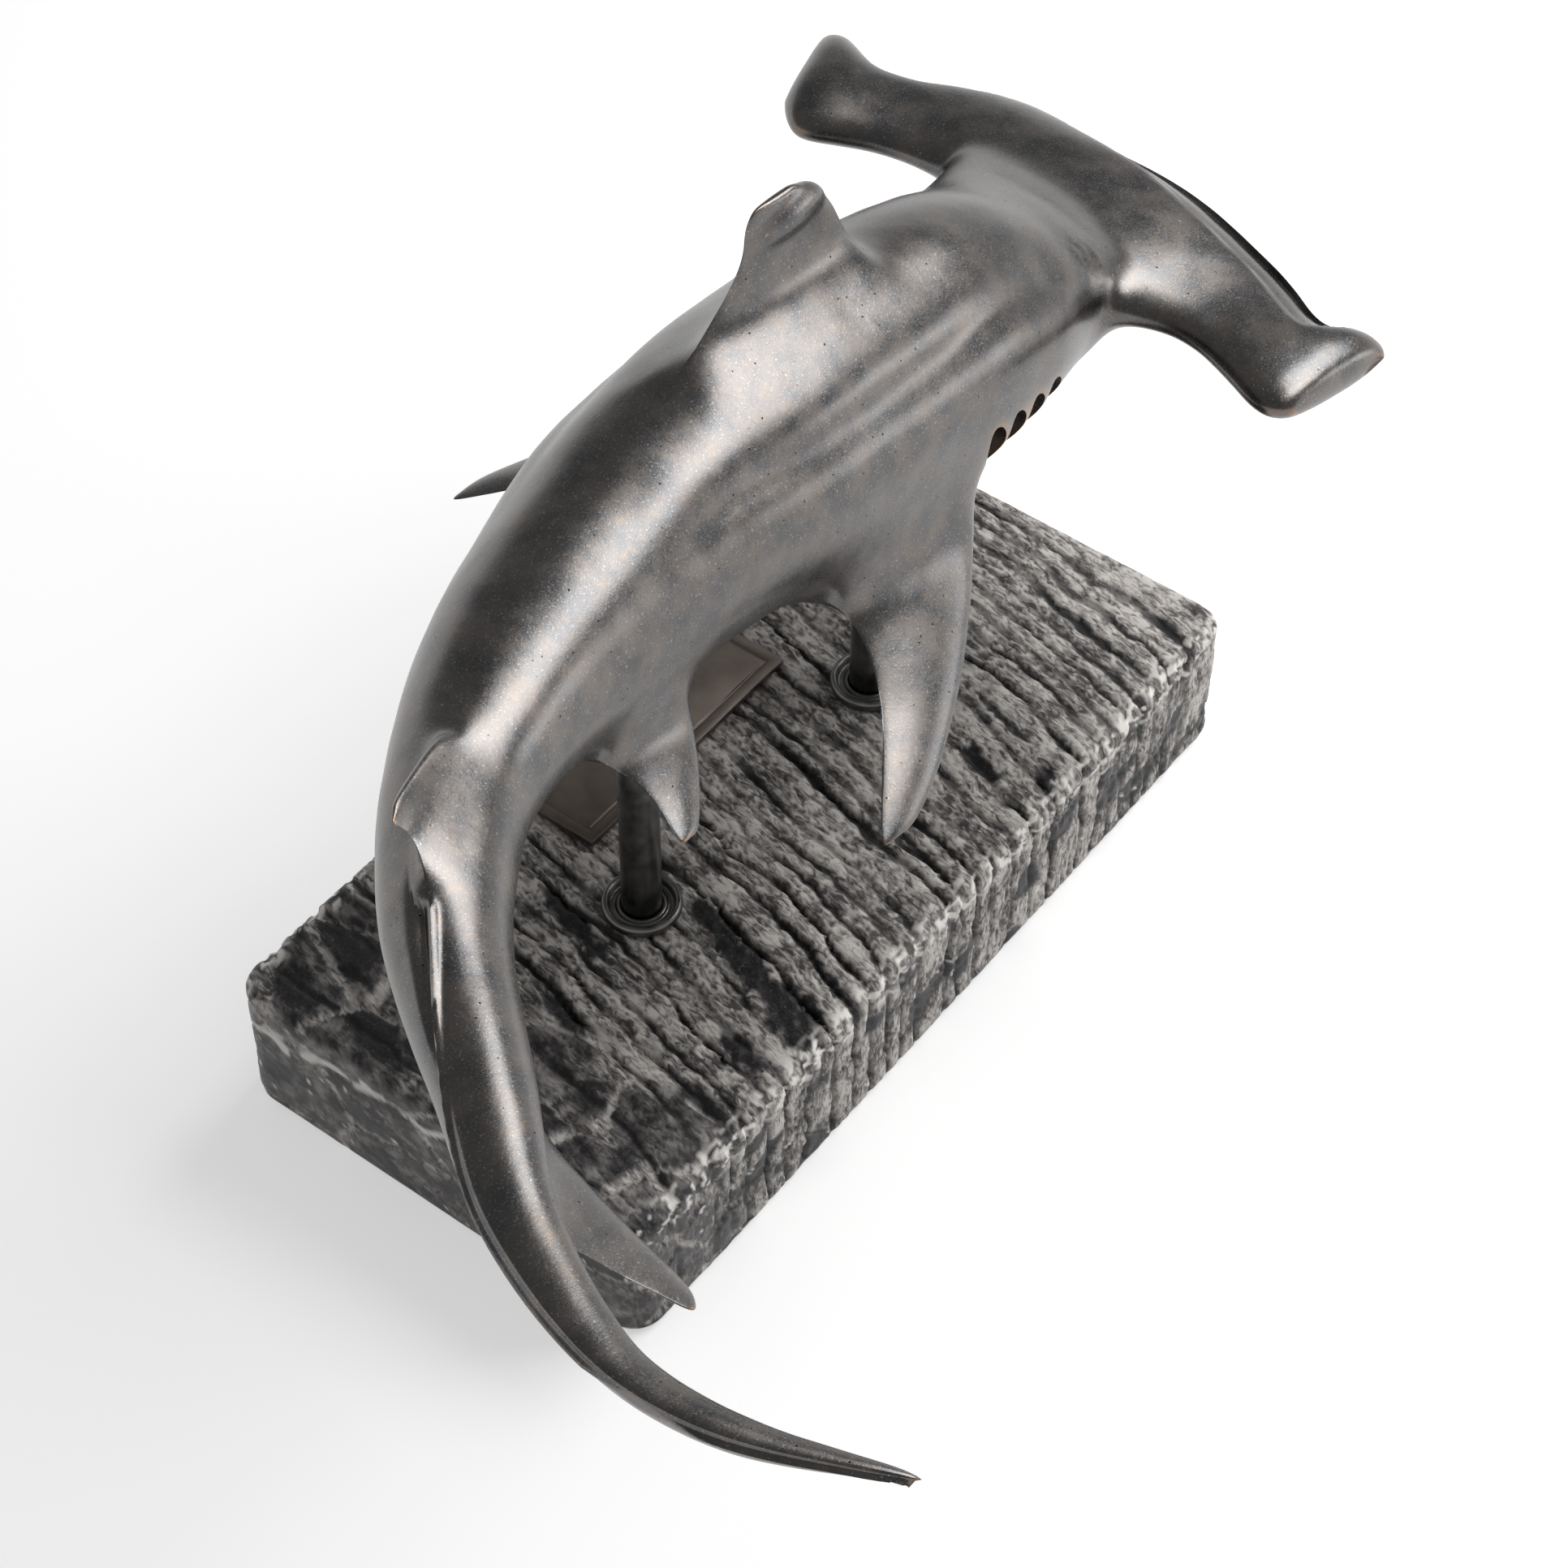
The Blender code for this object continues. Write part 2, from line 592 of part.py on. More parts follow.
def stone_base(group, cutters, finish):
    """The slab: a gridded block with worn edges, its soft veins brushed back into grooves."""
    half_length, half_width = STONE_LENGTH / 2, STONE_WIDTH / 2
    margin = STONE_CORNER
    straight = half_width - margin
    row_places = (-half_width, -straight, -straight / 3, straight / 3, straight, half_width)
    lines = vein_lines()
    columns = len(lines) - 1
    rows = len(row_places) - 1
    levels = 2
    bm = bmesh.new()
    bmesh.ops.create_cube(bm, size=1.0)
    for axis, count in ((0, columns), (1, rows), (2, levels)):
        run = [edge for edge in bm.edges
               if abs((edge.verts[0].co - edge.verts[1].co)[axis]) > 0.5]
        bmesh.ops.subdivide_edges(bm, edges=run, cuts=count - 1, use_grid_fill=True)
    for vertex in bm.verts:
        u, v, w = vertex.co
        x, depth = lines[round((u + 0.5) * columns)]
        on_top, on_bottom = w > 0.499, w < -0.499
        on_side, on_end = abs(v) > 0.499, abs(u) > 0.499
        y = row_places[round((v + 0.5) * rows)]
        z = STONE_HEIGHT * (w + 0.5)
        depth *= 0.8 + 0.2 * math.sin(y * 110 + x * 300)
        x += vein_shift(x, y)
        inset = depth if on_side else 0.0
        drop = depth if on_top else 0.0
        if (on_top or on_bottom) and (on_side or on_end):
            inset += STONE_EDGE * 0.42
            drop += STONE_EDGE * 0.42 if on_top else 0.0
        core_x = max(-half_length + margin, min(half_length - margin, x))
        core_y = max(-half_width + margin, min(half_width - margin, y))
        away = Vector((x - core_x, y - core_y))
        if on_side or on_end:
            reach = margin - inset
            away = away.normalized() * reach
            x, y = core_x + away.x, core_y + away.y
        vertex.co = (x, y, z - drop)
    bmesh.ops.dissolve_limit(bm, angle_limit=math.radians(0.5), verts=bm.verts,
                             edges=[edge for edge in bm.edges
                                    if all(vertex.co.z < 0.00001 for vertex in edge.verts)])
    bmesh.ops.recalc_face_normals(bm, faces=bm.faces)
    stone = mesh_object("stone_base", bm, group, finish)
    holes = bmesh.new()
    for x in POST_PLACES.values():
        add_cylinder(holes, STUD_DIAMETER / 2 + STUD_CLEARANCE, COUNTERBORE_DEPTH - 0.002,
                     STONE_HEIGHT + 0.01, x, POST_OFFSET)
    cut(stone, cutter("stud_holes", holes, cutters))
    bores = bmesh.new()
    for x in POST_PLACES.values():
        add_cylinder(bores, COUNTERBORE_DIAMETER / 2, -0.01, COUNTERBORE_DEPTH, x, POST_OFFSET)
    cut(stone, cutter("counterbores", bores, cutters))
    return stone


def post(name, x, group, finish):
    """A post: a plain round bar on the slab, with a stud that runs down through it."""
    seat = STONE_TOP + SEAT_GAP
    washer_bottom = COUNTERBORE_DEPTH - SEAT_GAP - WASHER_THICKNESS
    stud_bottom = washer_bottom - SEAT_GAP - NUT_HEIGHT - STUD_END
    bar, stud = POST_DIAMETER / 2, STUD_DIAMETER / 2
    profile = [(0.0, post_top(x)), (bar, post_top(x)), (bar, seat), (stud, seat),
               (stud, stud_bottom + 0.0006), (stud - 0.0006, stud_bottom), (0.0, stud_bottom)]
    return turned(name, profile, group, finish, (x, POST_OFFSET, 0))


def collar(name, x, group, finish):
    """A turned collar round the foot of a post: a bead rim, a dish and a low inner lip."""
    outer, inner = COLLAR_DIAMETER / 2, POST_DIAMETER / 2 + SEAT_GAP
    crown = outer - COLLAR_BEAD / 2
    dish = COLLAR_HEIGHT * 0.36
    profile = [(crown, COLLAR_HEIGHT), (outer - 0.0003, COLLAR_HEIGHT * 0.78),
               (outer, COLLAR_HEIGHT * 0.5), (outer - 0.0004, 0.0), (inner, 0.0),
               (inner, COLLAR_HEIGHT * 0.62), (inner + 0.0009, COLLAR_HEIGHT * 0.62),
               (inner + 0.0016, dish), (outer - COLLAR_BEAD - 0.0004, dish),
               (outer - COLLAR_BEAD, COLLAR_HEIGHT * 0.78)]
    return turned(name, profile, group, finish, (x, POST_OFFSET, STONE_TOP + SEAT_GAP), closed=True)


def washer(name, x, group, finish):
    top = COUNTERBORE_DEPTH - SEAT_GAP
    outer, inner = WASHER_DIAMETER / 2, STUD_DIAMETER / 2 + SEAT_GAP
    profile = [(outer, top), (outer, top - WASHER_THICKNESS), (inner, top - WASHER_THICKNESS), (inner, top)]
    return turned(name, profile, group, finish, (x, POST_OFFSET, 0), closed=True)


def nut(name, x, group, cutters, finish):
    """A hexagon nut under the washer; its thread is left plain."""
    top = COUNTERBORE_DEPTH - 2 * SEAT_GAP - WASHER_THICKNESS
    bm = bmesh.new()
    add_cylinder(bm, NUT_ACROSS_FLATS / 2 / math.cos(math.pi / 6), top - NUT_HEIGHT, top,
                 x, POST_OFFSET, segments=6)
    body = mesh_object(name, bm, group, finish)
    bore = bmesh.new()
    add_cylinder(bore, STUD_DIAMETER / 2 + SEAT_GAP, top - NUT_HEIGHT - 0.002, top + 0.002, x, POST_OFFSET)
    cut(body, cutter(name + "_bore", bore, cutters))
    return body


def name_plate(group, finish):
    """A bare plate with a fine line sunk round its border and softened edges."""
    bm = bmesh.new()
    bmesh.ops.create_cube(bm, size=1.0)
    bmesh.ops.scale(bm, verts=bm.verts, vec=(PLATE_LENGTH, PLATE_WIDTH, PLATE_THICKNESS))
    top = [face for face in bm.faces if face.normal.z > 0.5]
    for width, depth in ((PLATE_BORDER, 0.0), (PLATE_LINE / 2, -PLATE_LINE_DEPTH),
                         (PLATE_LINE / 2, 0.0), (PLATE_LINE / 2, PLATE_LINE_DEPTH)):
        bmesh.ops.inset_region(bm, faces=top, thickness=width, use_even_offset=True)
        bmesh.ops.translate(bm, verts=top[0].verts, vec=(0, 0, depth))
    level = STONE_TOP + SEAT_GAP + PLATE_THICKNESS / 2
    middle = STONE_WIDTH / 2 - PLATE_MARGIN - PLATE_WIDTH / 2
    bmesh.ops.translate(bm, verts=bm.verts, vec=(0, middle, level))
    return mesh_object("name_plate", bm, group, finish)


def build():
    clear_scene()
    group = new_collection("Hammerhead shark sculpture")
    cutters = new_collection("Cutters")
    bronze = material("Dark patinated bronze", (0.105, 0.10, 0.095), 0.34, 1.0)
    gunmetal = material("Gunmetal bar", (0.07, 0.07, 0.072), 0.4, 1.0)
    marble = material("Brushed black marble", (0.12, 0.115, 0.112), 0.62, 0.0)
    pewter = material("Satin pewter plate", (0.33, 0.30, 0.28), 0.42, 1.0)
    zinc = material("Zinc plated steel", (0.45, 0.45, 0.46), 0.35, 1.0)
    shark_casting(group, cutters, bronze)
    stone_base(group, cutters, marble)
    name_plate(group, pewter)
    for end, x in POST_PLACES.items():
        post(end + "_post", x, group, gunmetal)
        collar(end + "_collar", x, group, gunmetal)
        washer(end + "_washer", x, group, zinc)
        nut(end + "_nut", x, group, cutters, zinc)


build()
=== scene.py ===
# Dresses the hammerhead shark figurine: a patinated bronze casting on two bar posts,
# over a brushed marble slab that carries a bare name plate.
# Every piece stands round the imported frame, in metres: +X to the shark's head, +Y to its left, +Z up.

import math

import bmesh
import bpy
import numpy as np
from mathutils import Matrix, Vector, noise


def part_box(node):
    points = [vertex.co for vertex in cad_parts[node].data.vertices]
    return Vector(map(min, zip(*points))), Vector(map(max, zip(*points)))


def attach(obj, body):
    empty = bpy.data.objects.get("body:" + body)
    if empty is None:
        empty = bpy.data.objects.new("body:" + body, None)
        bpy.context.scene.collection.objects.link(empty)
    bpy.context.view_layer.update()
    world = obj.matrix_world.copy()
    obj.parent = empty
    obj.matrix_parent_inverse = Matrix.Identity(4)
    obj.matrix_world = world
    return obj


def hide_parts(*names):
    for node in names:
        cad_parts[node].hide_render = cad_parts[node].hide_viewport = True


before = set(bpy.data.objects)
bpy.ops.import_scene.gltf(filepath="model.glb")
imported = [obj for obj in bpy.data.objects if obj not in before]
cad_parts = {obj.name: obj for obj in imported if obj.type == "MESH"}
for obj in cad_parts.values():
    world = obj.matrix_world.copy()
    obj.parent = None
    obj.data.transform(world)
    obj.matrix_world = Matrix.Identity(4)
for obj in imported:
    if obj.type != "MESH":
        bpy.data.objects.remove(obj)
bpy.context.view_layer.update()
mm = 0.001
seatGap = 0.3 * mm            # left between pieces that touch
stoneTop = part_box("name_plate")[0][2] - seatGap
stoneHalf = (150 * mm, 75 * mm)
print("frame loaded:", len(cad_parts), "nodes")


def toLinear(hexColour):
    values = [int(hexColour[start:start + 2], 16) / 255 for start in (1, 3, 5)]
    return [v / 12.92 if v <= 0.04045 else ((v + 0.055) / 1.055) ** 2.4 for v in values] + [1.0]


def addNode(tree, kind, settings=None, inputs=None):
    node = tree.nodes.new("ShaderNode" + kind)
    for name, value in (settings or {}).items():
        if name == "stops":
            elements = node.color_ramp.elements
            while len(elements) < len(value):
                elements.new(0.5)
            for element, (place, hexColour) in zip(elements, value):
                element.position = place
                element.color = toLinear(hexColour)
        else:
            setattr(node, name, value)
    for name, value in (inputs or {}).items():
        if isinstance(value, bpy.types.NodeSocket):
            tree.links.new(value, node.inputs[name])
        else:
            node.inputs[name].default_value = value
    return node


def newMaterial(name, shaderValues):
    material = bpy.data.materials.new(name)
    material.use_nodes = True
    tree = material.node_tree
    shader = tree.nodes["Principled BSDF"]
    for socket, value in shaderValues.items():
        shader.inputs[socket].default_value = value
    return material, tree, shader


def showPiece(name, mesh, material, smoothAngle=None):
    piece = bpy.data.objects.new(name, mesh)
    bpy.context.scene.collection.objects.link(piece)
    mesh.materials.clear()
    mesh.materials.append(material)
    mesh.shade_smooth()
    if smoothAngle:
        mesh.set_sharp_from_angle(angle=math.radians(smoothAngle))
    return piece


def bakeModifiers(piece):
    graph = bpy.context.evaluated_depsgraph_get()
    made = bpy.data.meshes.new_from_object(piece.evaluated_get(graph))
    piece.modifiers.clear()
    old = piece.data
    piece.data = made
    bpy.data.meshes.remove(old)


def toolFromBmesh(name, bm):
    bmesh.ops.recalc_face_normals(bm, faces=bm.faces)
    mesh = bpy.data.meshes.new(name)
    bm.to_mesh(mesh)
    bm.free()
    tool = bpy.data.objects.new(name, mesh)
    bpy.context.scene.collection.objects.link(tool)
    return tool


def cutAway(piece, tools):
    for tool in tools:
        modifier = piece.modifiers.new(tool.name, "BOOLEAN")
        modifier.solver = "EXACT"
        modifier.object = tool
    bakeModifiers(piece)
    for tool in tools:
        bpy.data.objects.remove(tool, do_unlink=True)


def settle(piece, node):
    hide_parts(node)
    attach(piece, "root")


def readPoints(mesh):
    values = np.zeros(len(mesh.vertices) * 3, dtype=np.float32)
    mesh.vertices.foreach_get("co", values)
    return values.reshape(-1, 3).astype(float)


def readNormals(mesh):
    values = np.zeros(len(mesh.vertices) * 3, dtype=np.float32)
    mesh.vertex_normals.foreach_get("vector", values)
    return values.reshape(-1, 3).astype(float)


def readMark(mesh, name):
    values = np.zeros(len(mesh.vertices), dtype=np.float32)
    mesh.attributes[name].data.foreach_get("value", values)
    return values


def writeMark(mesh, name, values):
    mark = mesh.attributes.get(name) or mesh.attributes.new(name, "FLOAT", "POINT")
    mark.data.foreach_set("value", np.asarray(values, dtype=np.float32))


def movePoints(mesh, points):
    mesh.vertices.foreach_set("co", np.asarray(points, dtype=np.float32).ravel())
    mesh.update()


def smoothStep(values, low, high):
    share = np.clip((values - low) / (high - low), 0, 1)
    return share * share * (3 - 2 * share)


def noiseField(points, size, seed):
    shift = Vector((seed * 7.31, seed * 3.17, seed * 5.93))
    return np.array([noise.noise(Vector(point) / size + shift) for point in points])


# Bronze, lost-wax cast, patinated black-grey and waxed: a satin skin with a dark depth, fine bright
# speckle where the wax has worn through, brown metal on the rubbed edges, and fine casting pits.
bronze = {
    "patina": "#5d5d5e",
    "patinaPale": "#716d6a",
    "speckle": "#d2d0cd",
    "rubbed": "#947963",
    "hollow": "#2a2625",
    "warm": "#84715f",
    "pit": "#0d0c0c",
    "roughness": (0.26, 0.33),
    "cloudSize": 10 * mm,
    "grainSize": 0.55 * mm,      # coarser than the real grain, so that it shows in the render
    "mottleSize": 3.3 * mm,
    "pitSpacing": 3.4 * mm,
    "pitRadius": 0.32 * mm,
    "patinaSpread": (0.36, 0.64),           # noise where the patina starts to pale, and where it is pale
    "speckleSpread": (0.60, 0.70, 0.46),    # noise where it starts, where it is full, and its share there
    "warmSpread": (0.54, 0.72, 0.4),
    "rubbedMottle": (0.9, 0.35),            # the mottle's hold on a rubbed edge, and what shows without it
    "hollowShare": 0.75,
    "pittedAbove": 0.49,                    # pits show where the mottle's noise is over this
    "grainGloss": (0.3, -0.15),             # the grain's hold on the roughness, and its shift
    "grainBump": (0.22, 0.10 * mm),         # strength and height
    "mottleBump": (0.16, 0.3 * mm),
    "pitBump": (0.8, 0.3 * mm),
}


def bronzeMaterial():
    material, tree, shader = newMaterial("Patinated cast bronze", {"Metallic": 1.0})
    place = addNode(tree, "TexCoord").outputs["Object"]
    cloud = addNode(tree, "TexNoise", inputs={"Vector": place, "Scale": 1 / bronze["cloudSize"],
                                              "Detail": 5.0, "Roughness": 0.55}).outputs["Fac"]
    grain = addNode(tree, "TexNoise", inputs={"Vector": place, "Scale": 1 / bronze["grainSize"],
                                              "Detail": 3.0, "Roughness": 0.65}).outputs["Fac"]
    mottle = addNode(tree, "TexNoise", inputs={"Vector": place, "Scale": 1 / bronze["mottleSize"],
                                               "Detail": 4.0, "Roughness": 0.7}).outputs["Fac"]
    cells = addNode(tree, "TexVoronoi", inputs={"Vector": place, "Scale": 1 / bronze["pitSpacing"],
                                                "Randomness": 1.0}).outputs["Distance"]
    rubbed, hollow = (addNode(tree, "Attribute", {"attribute_name": name}).outputs["Fac"]
                      for name in ("rubbed", "hollow"))
    start, full, most = bronze["speckleSpread"]
    speckle = addNode(tree, "MapRange", inputs={0: grain, 1: start, 2: full, 3: 0.0, 4: most}).outputs[0]
    start, full, most = bronze["warmSpread"]
    warm = addNode(tree, "MapRange", inputs={0: mottle, 1: start, 2: full, 3: 0.0, 4: most}).outputs[0]
    hold, least = bronze["rubbedMottle"]
    worn = addNode(tree, "Math", {"operation": "MULTIPLY_ADD"}, {0: mottle, 1: hold, 2: least}).outputs[0]
    wear = addNode(tree, "Math", {"operation": "MULTIPLY"}, {0: rubbed, 1: worn}).outputs[0]
    deep = addNode(tree, "Math", {"operation": "MULTIPLY"}, {0: hollow, 1: bronze["hollowShare"]}).outputs[0]
    size = bronze["pitRadius"] / bronze["pitSpacing"]
    pit = addNode(tree, "MapRange", inputs={0: cells, 1: size / 2, 2: size, 3: 1.0, 4: 0.0}).outputs[0]
    above = addNode(tree, "Math", {"operation": "GREATER_THAN"},
                    {0: mottle, 1: bronze["pittedAbove"]}).outputs[0]
    pitted = addNode(tree, "Math", {"operation": "MULTIPLY"}, {0: pit, 1: above}).outputs[0]
    start, full = bronze["patinaSpread"]
    colour = addNode(tree, "ValToRGB", {"stops": [(start, bronze["patina"]), (full, bronze["patinaPale"])]},
                     {0: cloud}).outputs[0]
    for share, finish in ((speckle, "speckle"), (warm, "warm"), (wear, "rubbed"), (deep, "hollow"),
                          (pitted, "pit")):
        colour = addNode(tree, "Mix", {"data_type": "RGBA"},
                         {0: share, 6: colour, 7: toLinear(bronze[finish])}).outputs[2]
    tree.links.new(colour, shader.inputs["Base Color"])
    low, high = bronze["roughness"]
    rough = addNode(tree, "MapRange", inputs={0: cloud, 1: 0.3, 2: 0.7, 3: low, 4: high}).outputs[0]
    hold, shift = bronze["grainGloss"]
    rough = addNode(tree, "Math", {"operation": "MULTIPLY_ADD"}, {0: grain, 1: hold, 2: rough}).outputs[0]
    rough = addNode(tree, "Math", {"operation": "ADD"}, {0: rough, 1: shift}).outputs[0]
    tree.links.new(rough, shader.inputs["Roughness"])
    strength, height = bronze["grainBump"]
    skin = addNode(tree, "Bump", inputs={"Height": grain, "Strength": strength, "Distance": height})
    strength, height = bronze["mottleBump"]
    clouded = addNode(tree, "Bump", inputs={"Height": mottle, "Strength": strength, "Distance": height,
                                            "Normal": skin.outputs[0]})
    strength, height = bronze["pitBump"]
    sunk = addNode(tree, "Bump", {"invert": True}, {"Height": pitted, "Strength": strength,
                                                    "Distance": height, "Normal": clouded.outputs[0]})
    tree.links.new(sunk.outputs[0], shader.inputs["Normal"])
    return material


# Marble of the black wood-vein kind, brushed so that its soft veins stand back: mottled light grey
# bands stay proud and matte, the veins between them are sunk and almost black, with white calcite.
marble = {
    "bandDark": "#4f4b4a",
    "band": "#9a9591",
    "bandPale": "#d0cbc6",
    "vein": "#0e0d0f",
    "black": "#1d1c1f",
    "blackPale": "#4a4547",
    "calcite": "#efebe6",
    "grainSize": 0.8 * mm,
    "streakSize": 1.5 * mm,
    "streakTurn": 12,                     # degrees that the streaks are turned on plan
    "streakStretch": (1.0, 0.34, 0.4),
    "cloudSize": 12 * mm,
    "cloudHold": (0.55, -0.27),           # the cloud's hold on the bands' tone, and its shift
    "bandStops": (0.37, 0.48, 0.61),
    "blackStops": (0.5, 0.72),
    "specks": (0.66, 0.76, 0.4),          # noise where they start, where they are full, and their share
    "roughness": (0.45, 0.72),
    "blackGloss": -0.16,                  # the black pockets' change of roughness
    "streakBump": (0.32, 0.5 * mm),       # strength and height
    "grainBump": (0.4, 0.25 * mm),
}


def marbleMaterial():
    material, tree, shader = newMaterial("Brushed wood-vein marble", {"Specular IOR Level": 0.4})
    place = addNode(tree, "TexCoord").outputs["Object"]
    turn = (0.0, 0.0, math.radians(marble["streakTurn"]))
    turned = addNode(tree, "Mapping", inputs={"Vector": place, "Rotation": turn}).outputs[0]
    stretched = addNode(tree, "Mapping",
                        inputs={"Vector": turned, "Scale": marble["streakStretch"]}).outputs[0]
    streak = addNode(tree, "TexNoise",
                     inputs={"Vector": stretched, "Scale": 1 / marble["streakSize"],
                             "Detail": 5.0, "Roughness": 0.6, "Distortion": 0.8}).outputs["Fac"]
    cloud = addNode(tree, "TexNoise", inputs={"Vector": place, "Scale": 1 / marble["cloudSize"],
                                              "Detail": 4.0}).outputs["Fac"]
    grain = addNode(tree, "TexNoise", inputs={"Vector": place, "Scale": 1 / marble["grainSize"],
                                              "Detail": 4.0, "Roughness": 0.7}).outputs["Fac"]
    sunk, black, fleck = (addNode(tree, "Attribute", {"attribute_name": name}).outputs["Fac"]
                          for name in ("sunk", "black", "fleck"))
    hold, shift = marble["cloudHold"]
    tone = addNode(tree, "Math", {"operation": "MULTIPLY_ADD"}, {0: cloud, 1: hold, 2: shift}).outputs[0]
    tone = addNode(tree, "Math", {"operation": "ADD"}, {0: streak, 1: tone}).outputs[0]
    bandTones = [marble[name] for name in ("bandDark", "band", "bandPale")]
    band = addNode(tree, "ValToRGB", {"stops": list(zip(marble["bandStops"], bandTones))},
                   {0: tone}).outputs[0]
    blackTones = [marble[name] for name in ("black", "blackPale")]
    blackStone = addNode(tree, "ValToRGB", {"stops": list(zip(marble["blackStops"], blackTones))},
                         {0: grain}).outputs[0]
    start, full, most = marble["specks"]
    speck = addNode(tree, "MapRange", inputs={0: grain, 1: start, 2: full, 3: 0.0, 4: most}).outputs[0]
    colour = band
    for share, finish in ((black, blackStone), (sunk, toLinear(marble["vein"])),
                          (speck, toLinear(marble["bandPale"])), (fleck, toLinear(marble["calcite"]))):
        colour = addNode(tree, "Mix", {"data_type": "RGBA"}, {0: share, 6: colour, 7: finish}).outputs[2]
    tree.links.new(colour, shader.inputs["Base Color"])
    low, high = marble["roughness"]
    gloss = addNode(tree, "MapRange", inputs={0: grain, 1: 0.3, 2: 0.7, 3: low, 4: high}).outputs[0]
    rough = addNode(tree, "Math", {"operation": "MULTIPLY_ADD"},
                    {0: black, 1: marble["blackGloss"], 2: gloss}).outputs[0]
    tree.links.new(rough, shader.inputs["Roughness"])
    strength, height = marble["streakBump"]
    relief = addNode(tree, "Bump", inputs={"Height": streak, "Strength": strength, "Distance": height})
    strength, height = marble["grainBump"]
    tooth = addNode(tree, "Bump", inputs={"Height": grain, "Strength": strength, "Distance": height,
                                          "Normal": relief.outputs[0]})
    tree.links.new(tooth.outputs[0], shader.inputs["Normal"])
    return material


def shadeMetal(tree, shader, finish, cloud, marks):
    # The cloud tones the metal, and its marks take it from smooth to rough.
    start, full = finish["spread"]
    colour = addNode(tree, "ValToRGB", {"stops": [(start, finish["dark"]), (full, finish["pale"])]},
                     {0: cloud}).outputs[0]
    tree.links.new(colour, shader.inputs["Base Color"])
    low, high = finish["roughness"]
    rough = addNode(tree, "MapRange", inputs={0: marks, 1: 0.3, 2: 0.7, 3: low, 4: high}).outputs[0]
    tree.links.new(rough, shader.inputs["Roughness"])


# Steel bar and rings, turned and chemically blacked: soft tool rings and a satin grey sheen.
blackedSteel = {
    "dark": "#666666",
    "pale": "#83817f",
    "spread": (0.35, 0.65),
    "ringPitch": math.pi * mm,      # coarser than a lathe's own, so that the rings show
    "ringBump": (0.06, 0.05 * mm),
    "cloudSize": 5 * mm,
    "roughness": (0.26, 0.40),
}


def blackedSteelMaterial():
    material, tree, shader = newMaterial("Blacked turned steel", {"Metallic": 1.0})
    place = addNode(tree, "TexCoord").outputs["Object"]
    ringScale = 2 * math.pi / 20 / blackedSteel["ringPitch"]      # a wave node runs 20 radians to its unit
    rings = addNode(tree, "TexWave", {"bands_direction": "Z"},
                    {"Vector": place, "Scale": ringScale, "Distortion": 0.6, "Detail": 2.0}).outputs["Fac"]
    cloud = addNode(tree, "TexNoise", inputs={"Vector": place, "Scale": 1 / blackedSteel["cloudSize"],
                                              "Detail": 5.0}).outputs["Fac"]
    shadeMetal(tree, shader, blackedSteel, cloud, cloud)
    strength, height = blackedSteel["ringBump"]
    bump = addNode(tree, "Bump", inputs={"Height": rings, "Strength": strength, "Distance": height})
    tree.links.new(bump.outputs[0], shader.inputs["Normal"])
    return material


# Pewter sheet, rolled and satin brushed along its length, with a soft, one-way sheen. Its warm dark grey is
# darker than the metal's own: painted shade, for the shark's shadow and dark reflection over the plate.
pewter = {
    # Both tones hold painted shade: darker than bare pewter, for the shade under the shark.
    "dark": "#6b635c",
    "pale": "#827971",
    "spread": (0.3, 0.7),
    "brushWidth": 0.35 * mm,
    "brushStretch": (0.02, 1.0, 1.0),
    "brushBump": (0.10, 0.05 * mm),
    "cloudSize": 12 * mm,
    "roughness": (0.32, 0.46),
}


def pewterMaterial():
    material, tree, shader = newMaterial("Satin brushed pewter with painted shade", {"Metallic": 1.0})
    place = addNode(tree, "TexCoord").outputs["Object"]
    brushed = addNode(tree, "Mapping", inputs={"Vector": place, "Scale": pewter["brushStretch"]}).outputs[0]
    lines = addNode(tree, "TexNoise", inputs={"Vector": brushed, "Scale": 1 / pewter["brushWidth"],
                                              "Detail": 3.0}).outputs["Fac"]
    cloud = addNode(tree, "TexNoise", inputs={"Vector": place, "Scale": 1 / pewter["cloudSize"],
                                              "Detail": 4.0}).outputs["Fac"]
    shadeMetal(tree, shader, pewter, cloud, lines)
    strength, height = pewter["brushBump"]
    bump = addNode(tree, "Bump", inputs={"Height": lines, "Strength": strength, "Distance": height})
    tree.links.new(bump.outputs[0], shader.inputs["Normal"])
    return material


# Zinc-plated steel, bright with a faint blue and a fine crystal cloud.
zinc = {
    "dark": "#a3a6ab",
    "pale": "#c2c4c6",
    "spread": (0.35, 0.65),
    "crystalSize": 1.5 * mm,
    "roughness": (0.24, 0.38),
}


def zincMaterial():
    material, tree, shader = newMaterial("Zinc plated steel", {"Metallic": 1.0})
    place = addNode(tree, "TexCoord").outputs["Object"]
    cloud = addNode(tree, "TexNoise", inputs={"Vector": place, "Scale": 1 / zinc["crystalSize"],
                                              "Detail": 3.0}).outputs["Fac"]
    shadeMetal(tree, shader, zinc, cloud, cloud)
    return material


bronzeSkin = bronzeMaterial()
marbleSkin = marbleMaterial()
steelSkin = blackedSteelMaterial()
pewterPaintedShadeSkin = pewterMaterial()
zincSkin = zincMaterial()
print("materials made")


